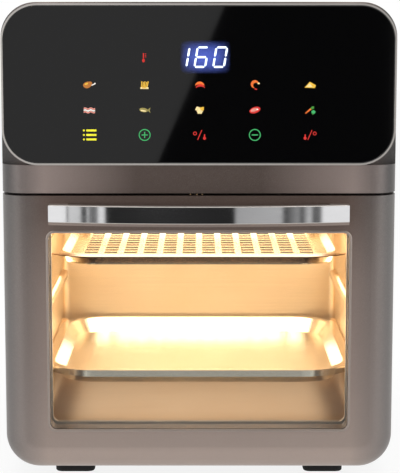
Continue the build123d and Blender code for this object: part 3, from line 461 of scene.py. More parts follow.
# Painted reflection and shade on the door: lightest at the bottom, where the pale table is
# mirrored, darkest at the top, with grey tones on its side edges
door_painted_reflection_tones = (srgb(182, 165, 156), srgb(166, 148, 140), srgb(152, 134, 126), srgb(106, 88, 80))
door_edge_painted_reflection = (srgb(128, 122, 120), srgb(108, 106, 105))
head_tone = srgb(168, 151, 145)
# Painted reflection on the head: a dark middle where the dark room in front is mirrored, and dark
# grey outer edges
head_edge_painted_reflection = srgb(88, 86, 86)
head_middle_painted_reflection = srgb(94, 80, 74)
# The oven steel's peach tone is partly painted warm lamp light; its clouds of heat tint are warmed
# the same way
cavity_steel_and_painted_warmth = srgb(232, 210, 178)
cavity_heat_tint_and_painted_warmth = srgb(222, 194, 156)
# Painted shade on the rack's front wall and flange edge, over the front 21 mm of the rack
rack_front_painted_shade = (rack_low.y + 0.021, srgb(128, 106, 90))

finish = {
    "door_paint": painted_metal(
        "taupe_door_paint", door_painted_reflection_tones, door_low.z, door_high.z, door_edge_painted_reflection
    ),
    "head_paint": painted_metal(
        "taupe_head_paint",
        (head_tone, head_tone),
        door_high.z,
        cad_high.z,
        (head_edge_painted_reflection, head_edge_painted_reflection),
        head_middle_painted_reflection,
    ),
    "wrap_paint": painted_metal("taupe_wrap_paint", (taupe, taupe_top_painted_shade), 0.0, cad_high.z),
    "handle_paint": painted_metal(
        "taupe_handle_paint", (taupe, handle_top_painted_highlight), trim_low.z, trim_high.z
    ),
    "black_glass": control_glass(),
    "door_glass": clear_glass("door_pane_glass", (0.985, 0.99, 0.985), 0.55),
    "lamp_glass": clear_glass("lamp_glass", (0.99, 0.97, 0.92), 0.8),
    "chrome": chrome(),
    "bezel": brushed_steel("bezel_edge", srgb(226, 221, 216), lines_on_edge, (0.3, 0.42)),
    "cavity": brushed_steel(
        "cavity_steel", cavity_steel_and_painted_warmth, (5.0, 700.0, 700.0), (0.36, 0.5), cavity_heat_tint_and_painted_warmth
    ),
    "pan": brushed_steel("pan_steel", srgb(240, 234, 222), lines_in_depth, (0.16, 0.28)),
    "rack": brushed_steel(
        "rack_steel", srgb(232, 222, 204), lines_in_depth, (0.18, 0.3), front=rack_front_painted_shade
    ),
    "mesh": brushed_steel("mesh_steel", srgb(240, 232, 214), (4.0, 500.0, 500.0), (0.14, 0.24)),
    "liner": brushed_steel(
        "liner_steel", srgb(236, 226, 216), lines_across, (0.42, 0.56), metal=0.6
    ),
    "zinc": brushed_steel("zinc_sheet", srgb(178, 182, 186), (30.0,) * 3, (0.35, 0.5)),
    "screw": brushed_steel("screw_zinc", srgb(188, 190, 192), (300.0,) * 3, (0.25, 0.4)),
    "cast": brushed_steel("cast_aluminium", srgb(196, 198, 200), (90.0,) * 3, (0.4, 0.55)),
    "element": brushed_steel("element_sheath", srgb(96, 88, 82), (80.0,) * 3, (0.4, 0.6)),
    "pin": brushed_steel("pin_brass", srgb(236, 196, 150), (300.0,) * 3, (0.2, 0.3)),
    "lip": brushed_steel(
        "lip_paint", srgb(176, 163, 155), lines_on_edge, (0.3, 0.42), metal=0.7
    ),
    "bronze": brushed_steel("sintered_bronze", srgb(176, 132, 74), (500.0,) * 3, (0.4, 0.55)),
    "dark_sheet": moulded_plastic("dark_coated_sheet", srgb(46, 45, 45), 0.5, 500.0),
    "black": moulded_plastic("black_moulding", srgb(26, 26, 27)),
    "silver": moulded_plastic("silver_moulding", srgb(150, 136, 126), 0.4),
    "white": moulded_plastic("white_moulding", srgb(226, 226, 222), 0.45),
    "ceramic": moulded_plastic("steatite", srgb(226, 220, 204), 0.6, 300.0),
    "magnet": moulded_plastic("ferrite", srgb(48, 47, 48), 0.65),
    "rubber": rubber("foot_rubber", srgb(34, 34, 35)),
    "seal": rubber("seal_silicone", srgb(52, 48, 45)),
    "board": circuit_board(),
    "winding": winding(),
}

finish_nodes = {
    "door_paint": ("door_shell",),
    "head_paint": ("head_shell",),
    "wrap_paint": ("outer_wrap",),
    "handle_paint": ("handle_bar",),
    "chrome": ("handle_trim",),
    "black_glass": ("control_glass",),
    "bezel": ("control_bezel",),
    "door_glass": ("outer_glass", "inner_glass"),
    "lamp_glass": ("lamp_lens", "lamp_bulb"),
    "cavity": ("cooking_chamber",),
    "pan": ("drip_tray",),
    "rack": ("rack_frame",),
    "mesh": ("rack_mesh",),
    "liner": (
        "door_liner",
        "front_frame",
        "fan_guard",
        "strike_plate",
        "temperature_probe",
        "element_brackets",
    ),
    "zinc": (
        "exhaust_duct",
        "hinge_arms",
        "hinge_blocks",
        "support_rails",
        "heater_dome",
        "board_carrier",
        "motor_bracket",
        "convection_fan",
        "cooling_fan",
    ),
    "screw": (
        "hinge_pins",
        "hinge_springs",
        "housing_screws",
        "door_screws",
        "fan_shaft",
        "fan_nut",
    ),
    "cast": ("bearing_bars", "motor_rotor"),
    "bronze": ("shaft_bearings",),
    "element": ("heating_element",),
    "winding": ("motor_coil",),
    "dark_sheet": ("motor_stator", "base_pan", "rear_cover"),
    "silver": ("glass_spacer",),
    "black": (
        "exhaust_grille",
        "cord_gland",
        "door_switch",
        "display_module",
        "board_components",
    ),
    "white": ("switch_plunger", "light_guide"),
    "ceramic": ("lamp_socket", "thermal_cutout"),
    "magnet": ("catch_magnet",),
    "rubber": ("feet",),
    "seal": ("door_seal", "glass_gasket"),
    "board": ("control_board", "power_board"),
}


def dress_nodes():
    """Gives every carried-over node its finish."""
    for look, names in finish_nodes.items():
        for name in names:
            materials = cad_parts[name].data.materials
            materials.clear()
            materials.append(finish[look])


# Mesh tools


def new_piece(name, vertices, faces, materials, face_materials=None):
    """A mesh object whose place is in its mesh."""
    mesh = bpy.data.meshes.new(name)
    mesh.from_pydata([tuple(v) for v in vertices], [], faces)
    for material in materials:
        mesh.materials.append(material)
    if face_materials:
        for polygon, index in zip(mesh.polygons, face_materials):
            polygon.material_index = index
    mesh.update()
    return link_mesh(name, mesh)


def link_mesh(name, mesh):
    """An object that shows a mesh in the scene."""
    piece = bpy.data.objects.new(name, mesh)
    bpy.context.scene.collection.objects.link(piece)
    return piece


def face_outwards(piece):
    """Merges doubles and turns every face outwards."""
    work = bmesh.new()
    work.from_mesh(piece.data)
    bmesh.ops.remove_doubles(work, verts=work.verts, dist=1e-7)
    bmesh.ops.recalc_face_normals(work, faces=work.faces)
    work.to_mesh(piece.data)
    work.free()


def rounded_loop(width, low, high, radius, steps=10, x=0.0):
    """Points round a rounded rectangle that faces the front, as (x, z)."""
    half = width / 2 - radius
    top = high - radius
    bottom = low + radius
    points = []
    for corner_x, corner_z, start in (
        (half, top, 0),
        (-half, top, 90),
        (-half, bottom, 180),
        (half, bottom, 270),
    ):
        for i in range(steps + 1):
            angle = math.radians(start + 90 * i / steps)
            points.append(
                (x + corner_x + radius * math.cos(angle), corner_z + radius * math.sin(angle))
            )
    return points


def swept_ring(name, loops, material):
    """A closed ring through loops of (points, y), each with as many points as the next."""
    count = len(loops[0][0])
    vertices = [(px, y, pz) for points, y in loops for px, pz in points]
    faces = []
    for row in range(len(loops)):
        after = (row + 1) % len(loops)
        for i in range(count):
            j = (i + 1) % count
            faces.append((row * count + i, row * count + j, after * count + j, after * count + i))
    piece = new_piece(name, vertices, faces, [material])
    face_outwards(piece)
    return piece


def window_loop(grow, radius):
    """The window's outline, moved outwards, with a corner radius of its own."""
    return rounded_loop(window_width + 2 * grow, window_low - grow, window_high + grow, radius)


def window_edges():
    """The black printed border on the door's outer pane, and the rolled lip round the window."""
    border = 0.0003
    margin = 0.003
    lift = 0.0002
    y = pane_low.y
    outer = window_loop(margin, window_radius + margin)
    inner = window_loop(-border, window_radius - border * 0.4)
    printed = swept_ring(
        "window_border",
        [(outer, y - lift), (inner, y - lift), (inner, y), (outer, y)],
        finish["black"],
    )
    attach(printed, "door")

    lip = 0.0011
    lip_overlap = 0.0002
    lip_height = lip * 0.55
    steps = 8
    loops = []
    for i in range(steps + 1):
        angle = math.pi * i / steps
        grow = lip * (1 - math.cos(angle)) - lip_overlap
        out = front_y - lip_height * math.sin(angle)
        loops.append((window_loop(grow, window_radius + grow), out))
    rolled = swept_ring("window_lip", loops, finish["lip"])
    for polygon in rolled.data.polygons:
        polygon.use_smooth = True
    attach(rolled, "door")


def glass_joint():
    """The dark joint round the control panel's glass."""
    width = glass_high.x - glass_low.x
    corner = 0.0264
    inward = -0.0002
    outward = 0.0006
    rise = 0.00025
    loops = []
    for grow, out in ((inward, 0.0), (inward, rise), (outward, rise), (outward, 0.0)):
        low = glass_low.z - grow
        high = glass_high.z + grow
        loops.append((rounded_loop(width + 2 * grow, low, high, corner + grow, 16), glass_y - out))
    joint = swept_ring("glass_joint", loops, finish["black"])
    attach(joint, "housing")


def handle_beads():
    """The bright rounded edges along the top and the bottom of the handle's plate."""
    half = (trim_high.x - trim_low.x) / 2
    bow = 0.012
    radius = (half * half + bow * bow) / (2 * bow)
    bead = 0.0006
    rows = 48
    sides = 10
    for name, z in (("handle_bead_top", trim_high.z), ("handle_bead_bottom", trim_low.z)):
        vertices = []
        faces = []
        for i in range(rows + 1):
            x = -half + 2 * half * i / rows
            y = trim_low.y + radius - math.sqrt(radius * radius - x * x) + bead
            for j in range(sides):
                angle = 2 * math.pi * j / sides
                vertices.append((x, y - bead * math.cos(angle), z + bead * math.sin(angle)))
        for i in range(rows):
            for j in range(sides):
                k = (j + 1) % sides
                here = i * sides
                after = here + sides
                faces.append((here + j, here + k, after + k, after + j))
        faces.append(tuple(range(sides)))
        faces.append(tuple(rows * sides + j for j in range(sides)))
        piece = new_piece(name, vertices, faces, [finish["bezel"]])
        face_outwards(piece)
        for polygon in piece.data.polygons:
            polygon.use_smooth = len(polygon.vertices) == 4
        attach(piece, "door")


def seam_pins():
    """Three small bright guide pins in the seam between the head and the door."""
    pin_places = (-0.0067, -0.0016, 0.0027)
    behind_front = 0.0035
    y = front_y + behind_front
    z = (door_high.z + head_low.z) / 2
    forwards = Matrix.Rotation(math.radians(90), 4, "X")
    work = bmesh.new()
    for x in pin_places:
        bmesh.ops.create_cone(
            work,
            cap_ends=True,
            segments=16,
            radius1=0.0008,
            radius2=0.0005,
            depth=0.004,
            matrix=Matrix.Translation((x, y, z)) @ forwards,
        )
    mesh = bpy.data.meshes.new("seam_pins")
    work.to_mesh(mesh)
    work.free()
    mesh.materials.append(finish["pin"])
    piece = link_mesh("seam_pins", mesh)
    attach(piece, "housing")


def add_outline(shapes, points, material, y):
    """Adds one flat outline to a list of shapes."""
    shapes.append(([(px, y, pz) for px, pz in points], material))


def flat_marks(name, shapes, body):
    """One piece of thin flat marks, each with its own colour."""
    materials = []
    vertices = []
    faces = []
    indices = []
    for points, material in shapes:
        if material not in materials:
            materials.append(material)
        start = len(vertices)
        vertices += points
        faces.append(tuple(range(start, start + len(points))))
        indices.append(materials.index(material))
    piece = new_piece(name, vertices, faces, materials, indices)
    face_front(piece)
    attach(piece, body)


def face_front(piece):
    """Turns flat marks to the front and gives them their thickness."""
    work = bmesh.new()
    work.from_mesh(piece.data)
    work.normal_update()
    for face in work.faces:
        if face.normal.y > 0:
            face.normal_flip()
    bmesh.ops.triangulate(work, faces=work.faces)
    made = bmesh.ops.extrude_face_region(work, geom=work.faces[:], use_keep_orig=True)
    moved = [item for item in made["geom"] if isinstance(item, bmesh.types.BMVert)]
    bmesh.ops.translate(work, verts=moved, vec=(0, -mark_thickness, 0))
    bmesh.ops.recalc_face_normals(work, faces=work.faces)
    put_in_order(work.verts, lambda vert: (*vert.co, *min(map(face_place, vert.link_faces))))
    put_in_order(work.faces, face_place)
    work.to_mesh(piece.data)
    work.free()


def face_place(face):
    """A face's middle and direction, which no other face shares."""
    return (*face.calc_center_median(), *face.normal)


def put_in_order(elements, place):
    """Sorts a mesh's parts by place, because an extrusion's order differs from run to run."""
    ranks = {element: rank for rank, element in enumerate(sorted(elements, key=place))}
    elements.sort(key=ranks.get)


# Icons, in units of the icon's half width


def blob(x, z, wide, tall, turn=0.0, wave=0.0, lobes=3, steps=22):
    """A rounded lump, as points round its edge."""
    points = []
    for i in range(steps):
        angle = 2 * math.pi * i / steps
        swell = 1 + wave * math.sin(lobes * angle + 0.7)
        px = wide * swell * math.cos(angle)
        pz = tall * swell * math.sin(angle)
        turned_x = x + px * math.cos(turn) - pz * math.sin(turn)
        turned_z = z + px * math.sin(turn) + pz * math.cos(turn)
        points.append((turned_x, turned_z))
    return points


def bar(x0, z0, x1, z1, thick):
    """A straight stroke between two points."""
    length = math.hypot(x1 - x0, z1 - z0)
    nx = -(z1 - z0) / length * thick / 2
    nz = (x1 - x0) / length * thick / 2
    return [(x0 + nx, z0 + nz), (x0 - nx, z0 - nz), (x1 - nx, z1 - nz), (x1 + nx, z1 + nz)]


def crescent(x, z, radius, thick, start, end, steps=14):
    """A curved body that is thickest in its middle."""
    outer = []
    inner = []
    for i in range(steps + 1):
        part = i / steps
        angle = math.radians(start + (end - start) * part)
        swell = thick * math.sin(math.pi * part) + thick * 0.12
        far = radius + swell
        near = radius - swell * 0.3
        outer.append((x + far * math.cos(angle), z + far * math.sin(angle)))
        inner.append((x + near * math.cos(angle), z + near * math.sin(angle)))
    return outer + inner[::-1]


def ring_band(x, z, radius, thick, steps=28):
    """Short straight pieces of a ring."""
    pieces = []
    for i in range(steps):
        a = math.radians(360 * i / steps)
        b = math.radians(360 * (i + 1) / steps)
        ring = []
        for angle, reach in ((a, radius - thick), (a, radius), (b, radius), (b, radius - thick)):
            ring.append((x + reach * math.cos(angle), z + reach * math.sin(angle)))
        pieces.append(ring)
    return pieces


lamp_colours = {
    "brown": lit("mark_brown", srgb(196, 122, 52), 0.42),
    "golden": lit("mark_golden", srgb(238, 188, 62), 0.55),
    "cream": lit("mark_cream", srgb(244, 222, 160), 0.55),
    "orange": lit("mark_orange", srgb(232, 112, 42), 0.6),
    "red": lit("mark_red", srgb(206, 42, 36), 0.6),
    "pink": lit("mark_pink", srgb(226, 148, 134), 0.5),
    "white": lit("mark_white", srgb(240, 234, 226), 0.6),
    "olive": lit("mark_olive", srgb(158, 146, 82), 0.45),
    "green": lit("mark_green", srgb(58, 168, 96), 0.7),
    "leaf": lit("mark_leaf", srgb(66, 142, 52), 0.55),
    "yellow": lit("mark_yellow", srgb(232, 226, 44), 0.75),
}


def drumstick():
    return [
        ("brown", blob(-0.25, 0.05, 0.78, 0.52, 0.35, 0.06)),
        ("golden", blob(-0.45, 0.2, 0.3, 0.16, 0.4)),
        ("white", bar(0.4, -0.05, 0.95, 0.2, 0.17)),
        ("white", blob(0.98, 0.27, 0.13, 0.11)),
    ]


def fries():
    sticks = []
    for i in range(5):
        foot = -0.5 + 0.22 * i
        lean = -0.55 + 0.27 * i
        sticks.append(("golden", bar(foot, -0.55, lean + 0.1, 0.62 - 0.1 * (i % 2), 0.18)))
    sticks.append(("cream", bar(-0.68, -0.5, 0.68, -0.5, 0.3)))
    return sticks


def sausages():
    return [
        ("orange", crescent(0.0, -0.75, 1.0, 0.3, 140, 40)),
        ("red", crescent(0.1, -1.15, 1.0, 0.28, 138, 42)),
    ]


def prawn():
    return [
        ("orange", crescent(0.1, 0.0, 0.5, 0.34, 20, 250)),
        ("red", bar(-0.08, -0.62, 0.34, -0.72, 0.2)),
        ("cream", blob(0.6, 0.28, 0.2, 0.14)),
    ]


def wedge():
    return [
        ("golden", [(-0.95, -0.42), (0.75, -0.5), (0.95, -0.05), (-0.1, 0.55)]),
        ("cream", [(-0.72, -0.3), (0.42, -0.32), (-0.1, 0.3)]),
    ]


def bacon():
    rows = []
    for i, tone in enumerate(("pink", "white", "pink")):
        wave = []
        for j in range(11):
            x = -0.95 + 0.19 * j
            wave.append((x, 0.36 - 0.3 * i + 0.1 * math.sin(j * 1.25)))
        lower = [(x, z - 0.24) for x, z in reversed(wave)]
        rows.append((tone, wave + lower))
    return rows


def fish():
    return [
        ("olive", blob(-0.15, 0.0, 0.72, 0.36, -0.15)),
        ("cream", blob(-0.2, -0.12, 0.5, 0.14, -0.15)),
        ("olive", [(0.45, 0.0), (1.0, 0.42), (0.86, -0.05), (0.98, -0.5)]),
    ]


def popcorn():
    return [
        ("cream", blob(-0.3, 0.2, 0.42, 0.36, 0.2, 0.16, 4)),
        ("golden", blob(0.35, 0.18, 0.4, 0.32, 0.7, 0.16, 4)),
        ("cream", blob(0.02, -0.3, 0.48, 0.34, 0.1, 0.14, 5)),
    ]


def steak():
    return [
        ("red", blob(0.0, 0.0, 0.88, 0.55, 0.2, 0.1, 2)),
        ("pink", blob(-0.12, 0.02, 0.58, 0.3, 0.2, 0.12, 2)),
        ("white", blob(0.42, 0.1, 0.14, 0.12)),
    ]


def vegetables():
    return [
        ("orange", [(-0.85, -0.5), (-0.72, -0.62), (0.25, 0.1), (0.0, 0.3)]),
        ("leaf", blob(0.38, 0.36, 0.34, 0.22, 0.6, 0.2, 5)),
        ("green", blob(0.55, -0.32, 0.34, 0.3, 0.0, 0.14, 5)),
        ("leaf", bar(0.5, -0.5, 0.45, -0.8, 0.16)),
    ]


def list_mark():
    marks = []
    for i in range(3):
        z = 0.75 - 0.75 * i
        marks.append(("yellow", blob(-0.95, z, 0.17, 0.17)))
        marks.append(("yellow", bar(-0.55, z, 1.15, z, 0.34)))
    return marks


def ring_mark(upright):
    """A ring with a plus sign in it where upright, and otherwise a minus sign."""
    marks = [("green", piece) for piece in ring_band(0, 0, 1.0, 0.16)]
    marks.append(("green", bar(-0.52, 0, 0.52, 0, 0.17)))
    if upright:
        marks.append(("green", bar(0, -0.52, 0, -0.09, 0.17)))
        marks.append(("green", bar(0, 0.09, 0, 0.52, 0.17)))
    return marks


def pair_mark(swapped):
    """Two small signs with a stroke between them."""
    side = -1 if swapped else 1
    marks = [("red", bar(-0.35, -0.8, 0.35, 0.8, 0.14))]
    marks += [("red", piece) for piece in ring_band(-0.8 * side, 0.25, 0.32, 0.13, 18)]
    marks.append(("red", bar(0.8 * side, -0.75, 0.8 * side, 0.1, 0.2)))
    marks.append(("red", blob(0.8 * side, -0.55, 0.26, 0.26)))
    return marks


def thermometer():
    marks = [("red", bar(0, -0.3, 0, 1.0, 0.34)), ("red", blob(0, -0.62, 0.42, 0.42))]
    for i in range(3):
        marks.append(("red", bar(0.42, 0.15 + 0.34 * i, 0.85, 0.15 + 0.34 * i, 0.14)))
    return marks


def control_marks():
    """The lit pictures of food and the plain symbols on the glass."""
    rows = (
        (drumstick(), fries(), sausages(), prawn(), wedge()),
        (bacon(), fish(), popcorn(), steak(), vegetables()),
        (list_mark(), ring_mark(True), pair_mark(False), ring_mark(False), pair_mark(True)),
    )
    middle_column = 2
    layers = 4
    shapes = []
    for z, row in zip(icon_rows, rows):
        for column, icon in enumerate(row):
            middle = (column - middle_column) * icon_pitch + icon_shift
            for layer, (tone, outline) in enumerate(icon):
                y = glass_y - mark_rise * (1 + (layer % layers) / layers)
                points = [(middle + px * icon_size, z + pz * icon_size) for px, pz in outline]
                add_outline(shapes, points, lamp_colours[tone], y)
    thermometer_z = display_z - 0.0004
    for tone, outline in thermometer():
        points = [
            (-icon_pitch + px * thermometer_wide, thermometer_z + pz * thermometer_tall)
            for px, pz in outline
        ]
        add_outline(shapes, points, lamp_colours[tone], glass_y - mark_rise)
    flat_marks("control_marks", shapes, "housing")


segments_on = {"0": "abcdef", "1": "bc", "6": "acdefg"}


def digit_segments(figure, x):
    """The lit strokes of one figure, leaning to the right."""
    half_width = digit_width / 2
    half_height = digit_height / 2
    gap = digit_stroke * 0.28
    tip = digit_stroke / 2
    lean = math.tan(digit_slant)
    places = {
        "a": ((-half_width, half_height), (half_width, half_height)),
        "b": ((half_width, half_height), (half_width, 0)),
        "c": ((half_width, 0), (half_width, -half_height)),
        "d": ((-half_width, -half_height), (half_width, -half_height)),
        "e": ((-half_width, 0), (-half_width, -half_height)),
        "f": ((-half_width, half_height), (-half_width, 0)),
        "g": ((-half_width, 0), (half_width, 0)),
    }
    strokes = []
    for letter in segments_on[figure]:
        (x0, z0), (x1, z1) = places[letter]
        length = math.hypot(x1 - x0, z1 - z0)
        dx = (x1 - x0) / length
        dz = (z1 - z0) / length
        points = []
        for along, across in (
            (0, 0),
            (tip, 1),
            (length - tip, 1),
            (length, 0),
            (length - tip, -1),
            (tip, -1),
        ):
            reach = gap + along * (length - 2 * gap) / length
            px = x0 + dx * reach - dz * across * tip
            pz = z0 + dz * reach + dx * across * tip
            points.append((x + px + pz * lean, display_z + pz))
        strokes.append(points)
    return strokes


def display():
    """The glowing figures 160 and the halo round them."""
    figures_x = display_x - 0.0030
    white = lit("display_white", (0.80, 0.90, 1.0), 1.6)
    shapes = []
    for figure, place in (("1", -1), ("6", 0), ("0", 1)):
        for points in digit_segments(figure, figures_x + place * digit_pitch):
            add_outline(shapes, points, white, glass_y - mark_rise)
    flat_marks("display_figures", shapes, "housing")

    half_width = 0.0200
    half_height = 0.0132
    corner = 0.006
    low = display_z - half_height
    high = display_z + half_height
    glow = halo(
        "display_halo",
        (0.10, 0.15, 0.60),
        0.75,
        (display_x, display_z),
        half_width,
        half_height,
    )
    shapes = []
    outline = rounded_loop(2 * half_width, low, high, corner, 8, display_x)
    add_outline(shapes, outline, glow, glass_y - mark_rise * 0.3)
    flat_marks("display_glow", shapes, "housing")


# Repeated pieces made by node trees


def tree_node(tree, kind, settings=None, inputs=None):
    """A geometry node with its settings and sockets."""
    node = tree.nodes.new(kind)
    for key, value in (settings or {}).items():
        setattr(node, key, value)
    for key, value in (inputs or {}).items():
        if isinstance(value, bpy.types.NodeSocket):
            tree.links.new(value, node.inputs[key])
        else:
            node.inputs[key].default_value = value
    return node


def scaled(tree, value, factor):
    """A tree's number times a fixed factor."""
    node = tree_node(tree, "ShaderNodeMath", {"operation": "MULTIPLY"}, {0: value, 1: factor})
    return node.outputs[0]


def screw_tree(name, material):
    """A tree that sets a domed cross-head screw on every point."""
    tree = bpy.data.node_groups.new(name, "GeometryNodeTree")
    tree.interface.new_socket("Geometry", in_out="INPUT", socket_type="NodeSocketGeometry")
    tree.interface.new_socket("Head Radius", in_out="INPUT", socket_type="NodeSocketFloat")
    tree.interface.new_socket("Head Height", in_out="INPUT", socket_type="NodeSocketFloat")
    tree.interface.new_socket("Geometry", in_out="OUTPUT", socket_type="NodeSocketGeometry")
    entry = tree.nodes.new("NodeGroupInput")
    result = tree.nodes.new("NodeGroupOutput")
    radius = entry.outputs["Head Radius"]
    height = entry.outputs["Head Height"]
    head = tree_node(
        tree,
        "GeometryNodeMeshCone",
        None,
        {
            "Vertices": 28,
            "Radius Top": scaled(tree, radius, 0.72),
            "Radius Bottom": radius,
            "Depth": height,
        },
    )
    slot_length = scaled(tree, radius, 1.1)
    slot_width = scaled(tree, radius, 0.24)
    slot_lift = tree_node(tree, "ShaderNodeCombineXYZ", None, {2: scaled(tree, height, 0.54)})
    join = tree.nodes.new("GeometryNodeJoinGeometry")
    for long_x, long_y in ((slot_length, slot_width), (slot_width, slot_length)):
        size = tree_node(tree, "ShaderNodeCombineXYZ", None, {0: long_x, 1: long_y, 2: height})
        cube = tree_node(tree, "GeometryNodeMeshCube", None, {"Size": size.outputs[0]})
        lifted = tree_node(
            tree,
            "GeometryNodeTransform",
            None,
            {"Geometry": cube.outputs[0], "Translation": slot_lift.outputs[0]},
        )
        dark = tree_node(
            tree,
            "GeometryNodeSetMaterial",
            None,
            {"Geometry": lifted.outputs[0], "Material": finish["black"]},
        )
        tree.links.new(dark.outputs[0], join.inputs[0])
    coat = tree_node(
        tree,
        "GeometryNodeSetMaterial",
        None,
        {"Geometry": head.outputs[0], "Material": material},
    )
    tree.links.new(coat.outputs[0], join.inputs[0])
    points = tree_node(
        tree, "GeometryNodeMeshToPoints", None, {"Mesh": entry.outputs["Geometry"]}
    )
    copies = tree_node(
        tree,
        "GeometryNodeInstanceOnPoints",
        None,
        {
            "Points": points.outputs[0],
            "Instance": join.outputs[0],
            "Rotation": (math.radians(-90), 0.0, 0.0),
        },
    )
    real = tree_node(
        tree, "GeometryNodeRealizeInstances", None, {"Geometry": copies.outputs[0]}
    )
    tree.links.new(real.outputs[0], result.inputs[0])
    return tree


def place_screws(name, places, radius, height, body):
    """Cross-head screws at places, whose heads face the back."""
    carrier = new_piece(name, places, [], [])
    modifier = carrier.modifiers.new("screws", "NODES")
    modifier.node_group = screw_tree(name + "_tree", finish["screw"])
    sizes = {"Head Radius": radius, "Head Height": height}
    for item in modifier.node_group.interface.items_tree:
        if item.name in sizes:
            modifier[item.identifier] = sizes[item.name]
    settle(carrier, body)


def settle(piece, body):
    """Turns what a tree made into a plain mesh that rides on a body."""
    graph = bpy.context.evaluated_depsgraph_get()
    plain = bpy.data.meshes.new_from_object(piece.evaluated_get(graph))
    piece.modifiers.clear()
    piece.data = plain
    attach(piece, body)


def rear_screws():
    """The six screws of the rear cover."""
    head_radius = 0.0036
    head_height = 0.0022
    from_side = 0.0070
    from_end = 0.048
    y = cover_high.y + 0.0012
    middle_z = (cover_low.z + cover_high.z) / 2
    places = []
    for side in (-1, 1):
        for z in (cover_low.z + from_end, middle_z, cover_high.z - from_end):
            places.append((side * (cover_high.x - from_side), y, z))
    place_screws(
        "rear_screw_heads", places, head_radius, head_height, "housing"
    )


# Light, floor and camera


def glow_light(name, place, size, energy, color, turn):
    """A soft rectangular lamp that the camera doesn't see."""
    light = bpy.data.lights.new(name, "AREA")
    light.shape = "RECTANGLE"
    light.size, light.size_y = size
    light.energy = energy
    light.color = color
    lamp = bpy.data.objects.new(name, light)
    lamp.location = place
    lamp.rotation_euler = turn
    lamp.visible_camera = False
    bpy.context.scene.collection.objects.link(lamp)


def cavity_lights():
    """The warm light inside the oven."""
    warm = (1.0, 0.79, 0.58)
    low_warm = (1.0, 0.83, 0.68)
    down = (0.0, 0.0, 0.0)
    wall_x = 0.1312
    middle_y = (chamber_low.y + chamber_high.y) / 2
    roof_z = chamber_high.z - 0.006
    wall_z = (rack_low.z + tray_high.z) / 2 + 0.02
    under_rack = rack_low.z - 0.003
    under_tray = tray_low.z - 0.003
    glow_light("roof_light", (0.0, middle_y, roof_z), (0.225, 0.20), 0.92, warm, down)
    for side in (-1, 1):
        place = (side * wall_x, middle_y, wall_z)
        inwards = (0.0, math.radians(90 * side), 0.0)
        glow_light(f"side_light_{side}", place, (0.05, 0.16), 0.14, warm, inwards)
    glow_light("rack_light", (0.0, middle_y, under_rack), (0.18, 0.16), 0.17, warm, down)
    glow_light("low_light", (0.0, middle_y, under_tray), (0.22, 0.18), 0.09, low_warm, down)


def studio_lights():
    """Soft light from both sides and from above."""
    white = (1.0, 1.0, 1.0)
    tilt = math.radians(68)
    turn = math.radians(52)
    side_size = (0.8, 1.4)
    glow_light("left_soft", (-1.5, -1.2, 0.9), side_size, 7.0, white, (tilt, 0.0, -turn))
    glow_light("right_soft", (1.5, -1.2, 0.9), side_size, 8.5, white, (tilt, 0.0, turn))
    glow_light("top_soft", (0.0, -0.3, 2.0), (1.6, 1.2), 13.0, white, (0.0, 0.0, 0.0))


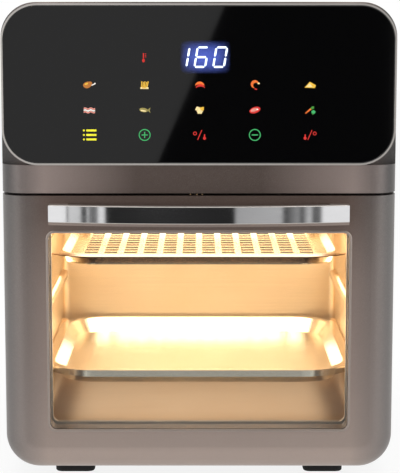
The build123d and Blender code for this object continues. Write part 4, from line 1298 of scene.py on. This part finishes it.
def world_light():
    """A pale room: white to the camera, and by angle dark or bright in gloss."""
    table_top = -0.15
    table_fade = 0.16
    table_color = (0.85, 0.84, 0.83)
    world = bpy.data.worlds.new("pale_room")
    world.use_nodes = True
    bpy.context.scene.world = world
    room = NodeTree(world.node_tree)
    background = world.node_tree.nodes["Background"]
    coords = room.node("ShaderNodeTexCoord", None, None, "Generated")
    x, y, z = (room.node("ShaderNodeSeparateXYZ", None, {0: coords}, i) for i in range(3))
    angle = room.sum("ARCTAN2", x, 0.0 - y) * math.degrees(1.0)
    stops = []
    for degrees, level in room_levels:
        place = (degrees + room_widest) / (2 * room_widest)
        stops.append((place, tuple(level * part for part in room_tint)))
    across = room.clamp((angle + room_widest) / (2 * room_widest))
    below = room.clamp((table_top - z) / table_fade)
    by_angle = room.mix(below, room.ramp(across, stops), table_color)
    camera_ray = room.node("ShaderNodeLightPath", None, None, "Is Camera Ray")
    glossy_ray = room.node("ShaderNodeLightPath", None, None, "Is Glossy Ray")
    light = room.mix(glossy_ray, (room_diffuse,) * 3, by_angle)
    seen = room.mix(camera_ray, light, (1.0, 1.0, 1.0))
    world.node_tree.links.new(seen.socket, background.inputs["Color"])


def reflected_card():
    """A pale card in front of the oven, seen only in its gloss."""
    y = front_y - camera_distance
    corners = [(-0.081, 0.100), (0.041, 0.386), (0.175, 0.700), (-0.9, 0.700), (-0.9, 0.100)]
    vertices = [(x, y, z) for x, z in corners]
    paint = Paint("card_light", (0.0, 0.0, 0.0), emission_strength=0.62, roughness=1.0)
    paint.shader.inputs["Emission Color"].default_value = (1.0, 1.0, 1.0, 1.0)
    card = new_piece("reflected_card", vertices, [tuple(range(5))], [paint.material])
    card.visible_camera = False
    card.visible_diffuse = False
    card.visible_shadow = False
    card.visible_transmission = False


def floor():
    """A plain white floor that keeps a soft shadow."""
    reach = 6.0
    camera_strength = 1.15
    camera_share = 0.75
    turns = ((-1, -1), (1, -1), (1, 1), (-1, 1))
    corners = [(reach * side, reach * way, 0.0) for side, way in turns]
    paint = Paint("floor_white", (0.86, 0.86, 0.86), roughness=0.9)
    camera_ray = paint.node("ShaderNodeLightPath", None, None, "Is Camera Ray")
    glow = paint.tree.nodes.new("ShaderNodeEmission")
    glow.inputs["Strength"].default_value = camera_strength
    paint.blend(camera_ray * camera_share, paint.shader, glow)
    plane = new_piece("floor", corners, [(0, 1, 2, 3)], [paint.material])
    plane.visible_glossy = False


def camera():
    """The camera at the photograph's height and tilt."""
    data = bpy.data.cameras.new("camera")
    data.lens = camera_lens
    eye = bpy.data.objects.new("camera", data)
    eye.location = (camera_offset, front_y - camera_distance, camera_height)
    eye.rotation_euler = (math.radians(90 - camera_pitch), 0.0, 0.0)
    bpy.context.scene.collection.objects.link(eye)
    bpy.context.scene.camera = eye


camera()
world_light()
studio_lights()
cavity_lights()
reflected_card()
floor()
dress_nodes()
window_edges()
glass_joint()
handle_beads()
seam_pins()
control_marks()
display()
rear_screws()

bpy.context.scene.view_settings.view_transform = "Standard"
